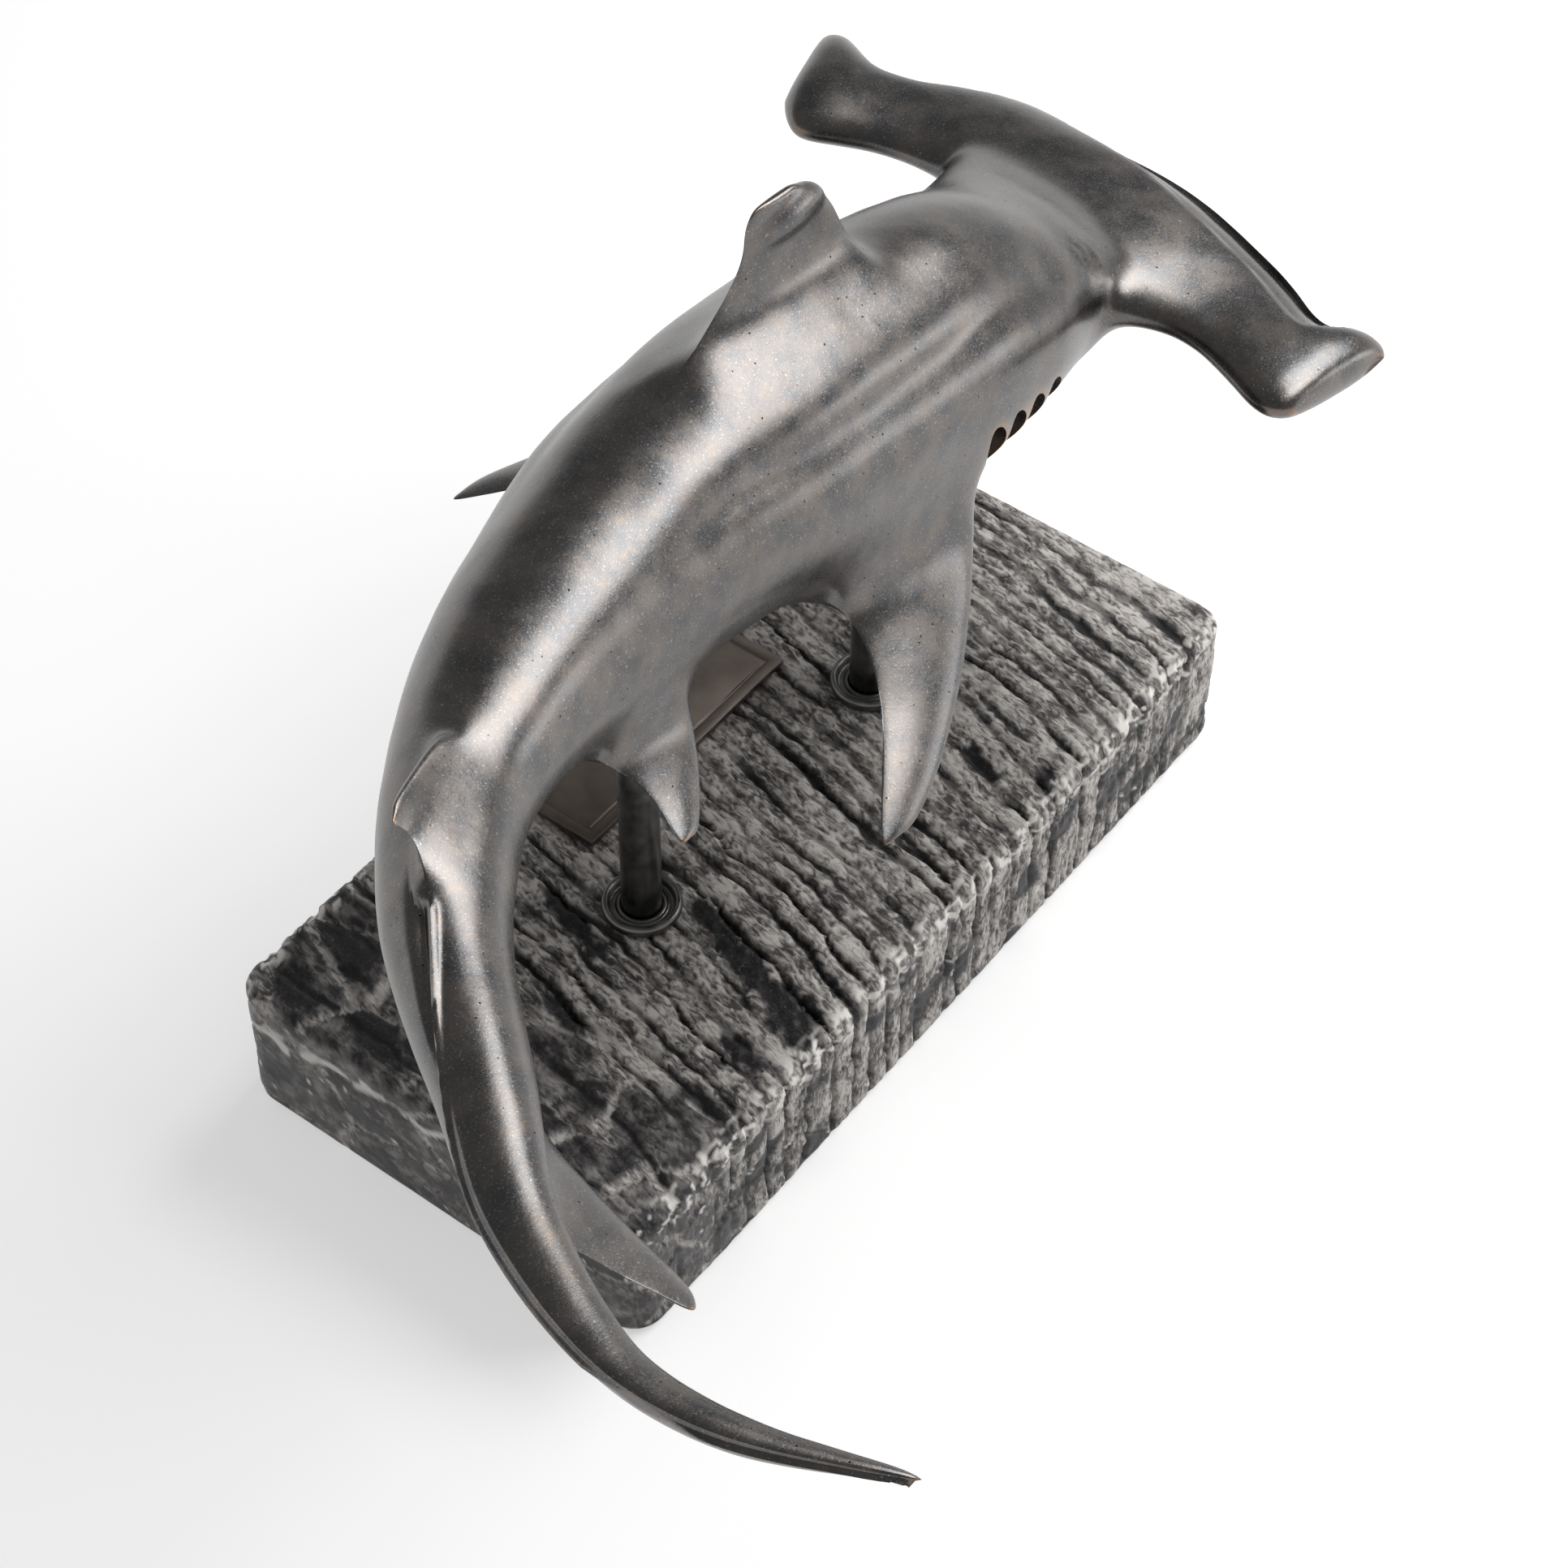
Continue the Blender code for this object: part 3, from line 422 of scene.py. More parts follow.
# The same cage as the frame's casting, subdivided finer so that the cast detail can be worked into it.
rideHeight = 0.135          # body's middle line above the slab, over the front posts' end
bodySides = 16
swell = 1.026                # a subdivided ring settles inside its corners; this restores it
bodyStations = {
    "neck": (0.108, -0.004, -0.007, 0.0345, 0.028, 0.031, 0, 0.0, 1),
    "gill_front": (0.092, -0.004, -0.004, 0.0380, 0.035, 0.037, 0, 0.0, 2),
    "pectoral_front": (0.058, -0.004, 0.002, 0.0400, 0.042, 0.041, 0, 0.0, 1),
    "dorsal_front": (0.037, -0.003, 0.005, 0.0395, 0.044, 0.042, 0, 0.0, 3),
    "pectoral_rear": (-0.014, -0.002, 0.012, 0.0390, 0.043, 0.041, 0, 0.0, 1),
    "dorsal_rear": (-0.045, -0.003, 0.016, 0.0365, 0.040, 0.037, 0, 0.0, 2),
    "pelvic_front": (-0.075, -0.007, 0.019, 0.0325, 0.035, 0.032, 0, 0.0, 3),
    "pelvic_rear": (-0.117, -0.015, 0.024, 0.0260, 0.028, 0.025, 0, 0.0, 2),
    "second_front": (-0.158, -0.031, 0.029, 0.0190, 0.020, 0.018, 1, 0.0, 3),
    "second_rear": (-0.197, -0.061, 0.033, 0.0155, 0.016, 0.015, 7, 0.1, 2),
    "lobe_front": (-0.226, -0.098, 0.038, 0.0120, 0.014, 0.013, 38, 0.3, 2),
    "lobe_rear": (-0.253, -0.133, 0.042, 0.0085, 0.012, 0.006, 50, 0.5, 1),
    "blade": (-0.2685, -0.1675, 0.047, 0.0052, 0.010, 0.004, 45, 0.6, 2),
    "blade_end": (-0.268, -0.206, 0.051, 0.0040, 0.007, 0.004, 38, 0.5, 1),
    "tip": (-0.255, -0.239, 0.054, 0.0012, 0.002, 0.002, 36, 0.3, 0),
}
hammerSections = [
    (0.180, 0.110, 0.140, 0.096, 0.0110),
    (0.186, 0.103, 0.126, 0.084, 0.0180),
    (0.174, 0.087, 0.134, 0.074, 0.0170),
    (0.179, 0.071, 0.140, 0.060, 0.0145),
    (0.189, 0.056, 0.142, 0.044, 0.0160),
    (0.192, 0.034, 0.141, 0.034, 0.0200),
    (0.189, 0.017, 0.137, 0.016, 0.0230),
    (0.190, 0.000, 0.133, -0.002, 0.0240),
    (0.189, -0.018, 0.125, -0.020, 0.0230),
    (0.184, -0.037, 0.115, -0.038, 0.0200),
    (0.175, -0.056, 0.123, -0.052, 0.0160),
    (0.166, -0.074, 0.122, -0.067, 0.0145),
    (0.154, -0.088, 0.114, -0.082, 0.0160),
    (0.164, -0.102, 0.106, -0.096, 0.0180),
    (0.157, -0.109, 0.113, -0.103, 0.0110),
]
neckSections = (5, 9)       # the neck opens between these two sections
hammerRise = -0.017         # height of the front edge over the ride height
hammerPitch = 0.14          # rise of the hammer for each metre back from its front edge
hammerFront = 0.190
browRise = 0.003            # swell of the head where it meets the hammer
hammerProfile = ((0.0, 0.0), (0.05, 0.42), (0.16, 0.92), (0.45, 1.05), (0.78, 0.85), (0.95, 0.5), (1.0, 0.0))
fins = {
    "dorsal": {
        "root": ("dorsal_front", "dorsal_rear"), "column": 0, "angle": 8,
        "sections": [(0.005, 0.003, 0.074, 0.0110), (0.012, 0.008, 0.061, 0.0075),
                     (0.020, 0.012, 0.050, 0.0062), (0.027, 0.018, 0.050, 0.0058),
                     (0.0325, 0.027, 0.047, 0.0040)],
    },
    "right_pectoral": {
        "root": ("pectoral_front", "pectoral_rear"), "column": 10, "angle": 230,
        "sections": [(0.009, 0.001, 0.060, 0.0130), (0.026, 0.015, 0.061, 0.0090),
                     (0.044, 0.036, 0.073, 0.0070), (0.060, 0.060, 0.089, 0.0050),
                     (0.068, 0.080, 0.096, 0.0030)],
    },
    "left_pectoral": {
        "root": ("pectoral_front", "pectoral_rear"), "column": 6, "angle": 113,
        "sections": [(0.009, 0.001, 0.060, 0.0130), (0.026, 0.014, 0.061, 0.0090),
                     (0.043, 0.032, 0.067, 0.0070), (0.058, 0.052, 0.078, 0.0050),
                     (0.065, 0.068, 0.083, 0.0030)],
    },
    "right_pelvic": {
        "root": ("pelvic_front", "pelvic_rear"), "column": 10, "angle": 232,
        "sections": [(0.006, 0.001, 0.038, 0.0080), (0.015, 0.008, 0.034, 0.0055),
                     (0.025, 0.018, 0.035, 0.0042), (0.034, 0.029, 0.039, 0.0026)],
    },
    "left_pelvic": {
        "root": ("pelvic_front", "pelvic_rear"), "column": 6, "angle": 142,
        "sections": [(0.006, 0.001, 0.038, 0.0080), (0.015, 0.008, 0.034, 0.0055),
                     (0.025, 0.018, 0.035, 0.0042), (0.034, 0.029, 0.039, 0.0026)],
    },
    "second_dorsal": {
        "root": ("second_front", "second_rear"), "column": 0, "angle": 38,
        "sections": [(0.0035, 0.002, 0.046, 0.0055), (0.0080, 0.015, 0.037, 0.0042),
                     (0.0150, 0.033, 0.042, 0.0030)],
    },
    "anal": {
        "root": ("second_front", "second_rear"), "column": 8, "angle": 180,
        "sections": [(0.004, 0.008, 0.040, 0.0050), (0.009, 0.018, 0.036, 0.0036),
                     (0.014, 0.030, 0.040, 0.0024)],
    },
    "lower_lobe": {
        "root": ("lobe_front", "lobe_rear"), "column": 8, "angle": 194,
        "sections": [(0.005, 0.007, 0.044, 0.0050), (0.014, 0.020, 0.047, 0.0040),
                     (0.025, 0.033, 0.050, 0.0032), (0.038, 0.046, 0.055, 0.0022)],
    },
}
finNose = (0.07, 0.62)
finTail = (0.93, 0.24)
finBelly = 1.4              # how much fuller a fin's section is between its nose and its tail
trailingCrease = 0.55
keelCrease = 0.45
cageMarks = ("chord", "section", "upper", "hammer", "place", "leftward", "backward", "fin")
rideLevel = stoneTop + rideHeight


class BodyLine:
    # The body's middle line and section sizes, read smoothly between the stations.

    def __init__(self, stations):
        self.names = list(stations)
        self.rings = [values[-1] for values in stations.values()]
        self.table = np.array([values[:-1] for values in stations.values()], dtype=float)

    def index(self, name):
        return self.names.index(name)

    def values(self, place):
        # Station values at a place counted in stations, by a Catmull-Rom spline.
        last = len(self.table) - 1
        first = min(int(place), last - 1)
        share = place - first
        p1, p2 = self.table[first], self.table[first + 1]
        p0 = self.table[first - 1] if first > 0 else 2 * p1 - p2
        p3 = self.table[first + 2] if first + 2 <= last else 2 * p2 - p1
        slope1, slope2 = (p2 - p0) / 2, (p3 - p1) / 2
        squared, cubed = share ** 2, share ** 3
        return ((2 * cubed - 3 * squared + 1) * p1 + (cubed - 2 * squared + share) * slope1
                + (3 * squared - 2 * cubed) * p2 + (cubed - squared) * slope2)

    def centre(self, place):
        x, y, rise = self.values(place)[:3]
        return Vector((x, y, rideLevel + rise))

    def frame(self, place):
        # Unit vectors aft, to the shark's left and towards its back, with the roll taken in.
        step = 0.05
        last = len(self.table) - 1
        behind = self.centre(min(place + step, last))
        ahead = self.centre(max(place - step, 0))
        aft = (behind - ahead).normalized()
        left = aft.cross(Vector((0, 0, 1))).normalized()
        up = left.cross(aft).normalized()
        roll = math.radians(self.values(place)[6])
        rolledUp = up * math.cos(roll) + left * math.sin(roll)
        rolledLeft = left * math.cos(roll) - up * math.sin(roll)
        return aft, rolledLeft, rolledUp

    def ring(self, place):
        # Corners of the cage ring at a place, from the back round by the left side.
        half, back, belly, keel = self.values(place)[[3, 4, 5, 7]]
        centre = self.centre(place)
        left, up = self.frame(place)[1:]
        corners = []
        for column in range(bodySides):
            turn = 2 * math.pi * column / bodySides
            across = half * math.sin(turn) * abs(math.sin(turn)) ** max(keel, 0.0)
            height = (back if math.cos(turn) > 0 else belly) * math.cos(turn)
            corners.append(centre + (left * across + up * height) * swell)
        return corners

    def placeAt(self, x):
        # Where the middle line passes a given x, over the straight front of the body.
        low, high = 0.0, float(self.index("pelvic_rear"))
        for _ in range(40):
            middle = (low + high) / 2
            if self.values(middle)[0] > x:
                low = middle
            else:
                high = middle
        return (low + high) / 2


body = BodyLine(bodyStations)


def hammerCorners(section):
    # The twelve corners of one hammer section, front edge, upper side, rear edge, lower side.
    frontX, frontY, rearX, rearY, thick = section
    upper = []
    lower = []
    for share, height in hammerProfile:
        x = frontX + (rearX - frontX) * share
        y = frontY + (rearY - frontY) * share
        level = rideLevel + hammerRise + (hammerFront - x) * hammerPitch
        upper.append(Vector((x, y, level + height * thick / 2)))
        lower.append(Vector((x, y, level - height * thick / 2)))
    return upper + lower[-2:0:-1]


def addHammer(bm, marks):
    # Lofts the hammer from end to end and leaves the neck's opening in its rear side.
    first, last = neckSections
    rearCorners = (5, 6, 7)
    grid = []
    for number, section in enumerate(hammerSections):
        row = {}
        for corner, point in enumerate(hammerCorners(section)):
            if first < number < last and corner in rearCorners:
                continue
            row[corner] = bm.verts.new(point)
            profileStep = corner if corner < 7 else 12 - corner
            row[corner][marks["chord"]] = hammerProfile[profileStep][0]
            row[corner][marks["section"]] = number
            row[corner][marks["upper"]] = 1.0 if 0 < corner < 6 else 0.0
            row[corner][marks["hammer"]] = 1.0
        grid.append(row)
    around = len(grid[0])
    for number, (row, following) in enumerate(zip(grid, grid[1:])):
        for corner in range(around):
            beside = (corner + 1) % around
            if first <= number < last and 4 <= corner < 8:
                continue
            bm.faces.new((row[corner], row[beside], following[beside], following[corner]))
    for row in (grid[0], grid[-1]):
        bm.faces.new((row[0], row[1], row[11]))
        for step in range(1, 5):
            bm.faces.new((row[step], row[step + 1], row[11 - step], row[12 - step]))
        bm.faces.new((row[5], row[6], row[7]))
    middle = (first + last) // 2
    loop = [grid[number][4] for number in range(middle, first, -1)]
    loop += [grid[first][corner] for corner in range(4, 8)]
    loop += [grid[number][8] for number in range(first, last)]
    loop += [grid[last][corner] for corner in range(8, 4, -1)]
    loop += [grid[number][4] for number in range(last, middle, -1)]
    return loop


def ringPlaces():
    places = []
    for number, count in enumerate(body.rings):
        places += [number + step / count for step in range(count)]
    places.append(float(len(body.rings) - 1))
    return places


def rootCurve(points, distance):
    # A point at a distance aft along the fin's root, carried on straight past either end.
    run = 0.0
    for first, second in zip(points, points[1:]):
        length = (second - first).length
        if distance <= run + length or second is points[-1]:
            return first + (second - first) * ((distance - run) / length)
        run += length


def growFin(bm, fin, rings, places, crease, marks):
    # Replaces a block of body faces, two columns wide, by a fin.
    start = places.index(float(body.index(fin["root"][0])))
    end = places.index(float(body.index(fin["root"][1])))
    column = fin["column"]
    leftSide, middle, rightSide = ((column + step) % bodySides for step in (-1, 0, 1))
    steps = end - start
    root = [rings[start + step][middle].co.copy() for step in range(steps + 1)]
    left, up = body.frame(places[start])[1:]
    angle = math.radians(fin["angle"])
    out = up * math.cos(angle) + left * math.sin(angle)
    side = left * math.cos(angle) - up * math.sin(angle)
    previous = {(step, edge): rings[start + step][columns]
                for step in range(steps + 1)
                for edge, columns in ((0, leftSide), (1, middle), (2, rightSide))}
    for distance, front, rear, thick in fin["sections"]:
        current = {}
        for step in range(steps + 1):
            share = finNose[0] + (finTail[0] - finNose[0]) * step / steps
            fullness = finNose[1] + (finTail[1] - finNose[1]) * step / steps
            fullness += finBelly * (step / steps) * (1 - step / steps)
            point = rootCurve(root, front + (rear - front) * share) + out * distance
            for edge in (0, 2):
                offset = side * (edge - 1) * thick / 2 * fullness
                current[step, edge] = bm.verts.new(point + offset)
                current[step, edge][marks["fin"]] = 1.0
        for step, aft in ((0, front), (steps, rear)):
            current[step, 1] = bm.verts.new(rootCurve(root, aft) + out * distance)
            current[step, 1][marks["fin"]] = 1.0
        for edge in (0, 2):
            for step in range(steps):
                bm.faces.new((previous[step, edge], previous[step + 1, edge],
                              current[step + 1, edge], current[step, edge]))
        for step in (0, steps):
            for edge in (0, 1):
                bm.faces.new((previous[step, edge], previous[step, edge + 1],
                              current[step, edge + 1], current[step, edge]))
        rim = bm.edges.get((previous[steps, 1], current[steps, 1]))
        rim[crease] = trailingCrease
        previous = current
    for step in range(1, steps):
        previous[step, 1] = bm.verts.new((previous[step, 0].co + previous[step, 2].co) / 2)
        previous[step, 1][marks["fin"]] = 1.0
    for step in range(steps):
        for edge in (0, 1):
            bm.faces.new((previous[step, edge], previous[step + 1, edge],
                          previous[step + 1, edge + 1], previous[step, edge + 1]))


def coveredFaces(places):
    # The body faces that fins replace, as (ring, column) pairs.
    covered = set()
    for fin in fins.values():
        start = places.index(float(body.index(fin["root"][0])))
        end = places.index(float(body.index(fin["root"][1])))
        for ring in range(start, end):
            covered.add((ring, (fin["column"] - 1) % bodySides))
            covered.add((ring, fin["column"]))
    return covered


def sharkCage():
    # The whole shark as one closed cage of quads.
    bm = bmesh.new()
    crease = bm.edges.layers.float.new("crease_edge")
    marks = {name: bm.verts.layers.float.new(name) for name in cageMarks}
    opening = addHammer(bm, marks)
    places = ringPlaces()
    rings = [[bm.verts.new(point) for point in body.ring(place)] for place in places]
    for place, ring in zip(places, rings):
        for column, vertex in enumerate(ring):
            vertex[marks["place"]] = place
            vertex[marks["leftward"]] = math.sin(2 * math.pi * column / bodySides)
            vertex[marks["backward"]] = math.cos(2 * math.pi * column / bodySides)
    brow = []
    for column, (front, rear) in enumerate(zip(opening, rings[0])):
        height = math.cos(2 * math.pi * column / bodySides)
        point = (front.co + rear.co) / 2 + Vector((0, 0, browRise * height))
        brow.append(bm.verts.new(point))
    covered = coveredFaces(places)
    for number, (row, following) in enumerate(zip([opening, brow] + rings, [brow] + rings)):
        for column in range(bodySides):
            if (number - 2, column) in covered:
                continue
            beside = (column + 1) % bodySides
            bm.faces.new((row[column], row[beside], following[beside], following[column]))
    bm.faces.new(rings[-1])
    for fin in fins.values():
        growFin(bm, fin, rings, places, crease, marks)
    keelStart = places.index(float(body.index("second_rear")))
    for row, following in zip(rings[keelStart:], rings[keelStart + 1:]):
        edge = bm.edges.get((row[0], following[0]))
        edge[crease] = keelCrease
    bmesh.ops.recalc_face_normals(bm, faces=bm.faces)
    return bm


# What is worked into the casting. Ledge rows are (hammer section, share of the chord, depth in mm).
# Places round the body are shares of its half width or height: 1 to its left or its back.
casting = {
    "level": 3,
    "roughPatch": (120 * mm, -33 * mm, 203 * mm, 15 * mm),     # its middle and its reach
    "roughPits": (2.4 * mm, 0.8 * mm),                         # size and depth
    "ledge": ((0, 0.0, 0.0), (1.5, 0.06, 0.5), (2, 0.12, 1.875), (3, 0.14, 2.5), (4, 0.13, 2.25),
              (5, 0.07, 1.125), (6, 0.12, 2.0), (7, 0.16, 2.75), (8, 0.19, 3.5), (9, 0.21, 3.75),
              (10, 0.24, 3.75), (11, 0.28, 3.75), (12, 0.28, 2.75), (12.7, 0.1, 0.5), (14, 0.0, 0.0)),
    "ledgeStep": (0.80, 1.12),         # where the ledge's step starts and ends, against its share
    "tailGroove": 2.4 * mm,
    "tailGrooveLine": (0.26, 0.13),    # its place to the left, and its width
    "tailRidge": 1.3 * mm,
    "tailRidgeLine": (0.5, 0.09),      # how far left it drifts, and its width
    "flankValley": 1.9 * mm,
    "flankLine": (0.62, 0.13),         # its place up the side, and its width
    "flankWave": (0.06, 1.3),          # the line's rise and fall, and its pace along the stations
    "flankSwell": (0.36, 0.18, 0.45),  # place below the valley, width, and height against its depth
    "swells": ((26 * mm, 0.35 * mm), (9 * mm, 0.10 * mm)),
    "gillCount": 5,
    "gillPitch": 10.2 * mm,
    "gillStart": 0.3,                  # pitches aft of the pectoral fin's front
    "gillSize": (9.2 * mm, 7.4 * mm, 30 * mm),     # across, into the flank, along the slot
    "gillSlope": 26,
    "gillLean": 0.25,
    "gillBow": 0.3,                    # share of its width that a slot's ends bend aft
    "eyes": ((150 * mm, -109.5 * mm, -14 * mm), (172 * mm, 110.5 * mm, -17 * mm)),
    "eyeSize": (6.4 * mm, 2.8 * mm, 5.2 * mm),
    "eyeTurn": -0.12,                  # radians
    "mouthRadius": 17 * mm,
    "mouthWidth": 3.2 * mm,
    "mouthCentre": 132 * mm,
    "mouthRoof": 21.5 * mm,
    "mouthReach": 30 * mm,
    "tipPlace": (15.5 * mm, 3.6 * mm, 262.5 * mm),   # the dorsal fin's dished end
    "tipSize": (12.5 * mm, 3.4 * mm, 2.4 * mm),
    "tipTurn": -0.35,                  # radians
    "tipSwell": 2.0 * mm,
    "socketRadius": 6.3 * mm,
    "socketReach": 90 * mm,
    "rubbedCurve": (90, 340),    # in 1/m: how sharp a ridge starts to be rubbed, and is rubbed bare
    "rubbedGain": 1.7,
    "hollowCurve": (25, 140),
}


def workHammerLedge(mesh, points):
    rows = np.array(casting["ledge"])
    section = readMark(mesh, "section")
    chord = readMark(mesh, "chord")
    share = np.interp(section, rows[:, 0], rows[:, 1])
    depth = np.interp(section, rows[:, 0], rows[:, 2]) * mm
    start, end = casting["ledgeStep"]
    sink = 1 - smoothStep(chord, share * start, share * end + 0.001)
    upper = smoothStep(readMark(mesh, "upper"), 0.25, 0.9) * smoothStep(readMark(mesh, "hammer"), 0.6, 1.0)
    points[:, 2] -= depth * sink * upper


def workTail(mesh, points, normals):
    # A free ridge behind the second dorsal fin, which drifts left, with a groove on its left.
    place = readMark(mesh, "place")
    leftward, backward = readMark(mesh, "leftward"), readMark(mesh, "backward")
    start = body.index("second_rear")
    onward = smoothStep(place, start - 0.25, start + 0.1)
    along = onward * (1 - smoothStep(place, start + 0.55, start + 1.2))
    bare = 1 - smoothStep(readMark(mesh, "fin"), 0.0, 0.3)
    above = backward > 0
    grooveLeft, grooveWidth = casting["tailGrooveLine"]
    groove = np.exp(-((leftward - grooveLeft) / grooveWidth) ** 2) * above * along
    drift, ridgeWidth = casting["tailRidgeLine"]
    ridgeLeft = drift * smoothStep(place, start + 0.4, start + 2.4)
    ridge = np.exp(-((leftward - ridgeLeft) / ridgeWidth) ** 2) * above * onward
    height = casting["tailRidge"] * ridge - casting["tailGroove"] * groove
    points += normals * (height * bare)[:, None]


def workFlank(mesh, points, normals):
    # A long shallow valley down each flank, between the back's muscle and the side's.
    place = readMark(mesh, "place")
    leftward, backward = readMark(mesh, "leftward"), readMark(mesh, "backward")
    bodyOnly = 1 - smoothStep(np.maximum(readMark(mesh, "fin"), readMark(mesh, "hammer")), 0.0, 0.3)
    along = smoothStep(place, 0.2, 1.2) * (1 - smoothStep(place, 4.5, 7.0))
    lineUp, width = casting["flankLine"]
    wave, pace = casting["flankWave"]
    below, swellWidth, swellShare = casting["flankSwell"]
    middle = lineUp + wave * np.sin(place * pace)
    flank = np.abs(leftward) > 0.3
    valley = np.exp(-((backward - middle) / width) ** 2) * flank
    swell = np.exp(-((backward - middle + below) / swellWidth) ** 2) * flank
    height = (swellShare * swell - valley) * casting["flankValley"]
    points += normals * (height * along * bodyOnly)[:, None]


def workDorsalTip(points, normals):
    place, size = np.array(casting["tipPlace"]), np.array(casting["tipSize"])
    away = np.linalg.norm((points - place) / (size * (1.5, 2.2, 2.6)), axis=1)
    points += normals * (casting["tipSwell"] * (1 - smoothStep(away, 0.5, 1.1)))[:, None]


def workRoughPatch(points, normals):
    # A patch of coarse cast skin where the hammer meets the neck.
    *place, radius = casting["roughPatch"]
    size, depth = casting["roughPits"]
    patch = 1 - smoothStep(np.linalg.norm(points - place, axis=1), radius * 0.3, radius)
    pits = smoothStep(noiseField(points, size, 9), 0.05, 0.3)
    points -= normals * (depth * patch * pits)[:, None]


def workSwells(points, normals):
    # The swells fade out where the casting touches its box.
    low, high = (np.array(corner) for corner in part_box("shark_casting"))
    spare = np.minimum(points - low, high - points).min(axis=1)
    fade = smoothStep(spare, 0.2 * mm, 8 * mm)
    for number, (size, height) in enumerate(casting["swells"]):
        points += normals * (height * fade * noiseField(points, size, number + 3))[:, None]


def gillTools():
    bm = bmesh.new()
    width, depth, height = casting["gillSize"]
    pitch = casting["gillPitch"]
    rear = body.values(body.index("pectoral_front"))[0] + pitch * casting["gillStart"]
    slope = math.radians(casting["gillSlope"])
    for number in range(casting["gillCount"]):
        place = body.placeAt(rear + pitch * number)
        centre = body.centre(place)
        half = body.values(place)[3]
        aft, left, up = body.frame(place)
        for side in (1, -1):
            made = bmesh.ops.create_uvsphere(bm, u_segments=28, v_segments=18, radius=1.0)
            out = left * side * math.cos(slope) - up * math.sin(slope)
            along = up * math.cos(slope) + left * side * math.sin(slope) + aft * casting["gillLean"]
            along.normalize()
            across = along.cross(out).normalized()
            for vertex in made["verts"]:
                x, y, z = vertex.co
                bow = aft * (width * casting["gillBow"] * z * z)
                vertex.co = (centre + out * half + across * x * width / 2 + out * y * depth
                             + along * z * height / 2 + bow)
    return toolFromBmesh("gillTools", bm)


def addEllipsoid(bm, place, size, turn):
    made = bmesh.ops.create_uvsphere(bm, u_segments=40, v_segments=24, radius=1.0)
    bmesh.ops.scale(bm, verts=made["verts"], vec=size)
    bmesh.ops.rotate(bm, verts=made["verts"], matrix=turn)
    bmesh.ops.translate(bm, verts=made["verts"], vec=place)


def eyeTools():
    bm = bmesh.new()
    turn = Matrix.Rotation(casting["eyeTurn"], 3, "Z")
    for x, y, rise in casting["eyes"]:
        addEllipsoid(bm, (x, y, rideLevel + rise), casting["eyeSize"], turn)
    return toolFromBmesh("eyeTools", bm)


def dorsalTool():
    bm = bmesh.new()
    turn = Matrix.Rotation(casting["tipTurn"], 3, "X")
    addEllipsoid(bm, casting["tipPlace"], casting["tipSize"], turn)
    return toolFromBmesh("dorsalTool", bm)


def mouthTool():
    bm = bmesh.new()
    steps = 28
    level = rideLevel - casting["mouthRoof"] - casting["mouthReach"]
    walls = []
    for step in range(steps + 1):
        turn = math.radians(-80 + 160 * step / steps)
        wide = casting["mouthWidth"] / 2 * (0.35 + 0.65 * math.cos(turn))
        for radius in (casting["mouthRadius"] - wide, casting["mouthRadius"] + wide):
            x = casting["mouthCentre"] + radius * math.cos(turn)
            y = body.values(0)[1] + radius * math.sin(turn)
            walls.append(bm.verts.new((x, y, level)))
    under = []
    for step in range(0, 2 * steps, 2):
        under.append(bm.faces.new((walls[step], walls[step + 1], walls[step + 3], walls[step + 2])))
    raised = bmesh.ops.extrude_face_region(bm, geom=under)
    tops = [item for item in raised["geom"] if isinstance(item, bmesh.types.BMVert)]
    bmesh.ops.translate(bm, verts=tops, vec=(0, 0, casting["mouthReach"]))
    return toolFromBmesh("mouthTool", bm)


def socketTools():
    bm = bmesh.new()
    for node in ("front_post", "rear_post"):
        low, high = (Vector(corner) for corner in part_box(node))
        bottom, top = rideLevel - casting["socketReach"], high.z + seatGap
        made = bmesh.ops.create_cone(bm, cap_ends=True, segments=48, radius1=casting["socketRadius"],
                                     radius2=casting["socketRadius"], depth=top - bottom)
        middle = (low + high) / 2
        bmesh.ops.translate(bm, verts=made["verts"], vec=(middle.x, middle.y, (top + bottom) / 2))
    return toolFromBmesh("socketTools", bm)


def markWear(mesh):
    # Finds the ridges that hands and cloths rub, and the hollows that keep their dark, from the curvature.
    points, normals = readPoints(mesh), readNormals(mesh)
    edges = np.zeros(len(mesh.edges) * 2, dtype=np.int32)
    mesh.edges.foreach_get("vertices", edges)
    edges = edges.reshape(-1, 2)
    count = np.bincount(edges.ravel(), minlength=len(points)).clip(1)

    def gather(values):
        total = np.zeros_like(values)
        np.add.at(total, edges[:, 0], values[edges[:, 1]])
        np.add.at(total, edges[:, 1], values[edges[:, 0]])
        return total / (count[:, None] if values.ndim > 1 else count)

    squared = ((points[edges[:, 0]] - points[edges[:, 1]]) ** 2).sum(axis=1)
    reach = np.zeros(len(points))
    np.add.at(reach, edges[:, 0], squared)
    np.add.at(reach, edges[:, 1], squared)
    reach = np.maximum(reach / count, 1e-8)
    curve = -2 * ((gather(points) - points) * normals).sum(axis=1) / reach
    for _ in range(3):
        curve = 0.5 * curve + 0.5 * gather(curve)
    rubbed = smoothStep(curve, *casting["rubbedCurve"])
    for _ in range(3):
        rubbed = 0.5 * rubbed + 0.5 * gather(rubbed)
    writeMark(mesh, "rubbed", (rubbed * casting["rubbedGain"]).clip(0, 1))
    hollow = smoothStep(-curve, *casting["hollowCurve"])
    for x, y, rise in casting["eyes"]:
        away = np.linalg.norm((points - (x, y, rideLevel + rise)) / casting["eyeSize"], axis=1)
        hollow = np.maximum(hollow, 1 - smoothStep(away, 1.0, 1.08))
    writeMark(mesh, "hollow", hollow)


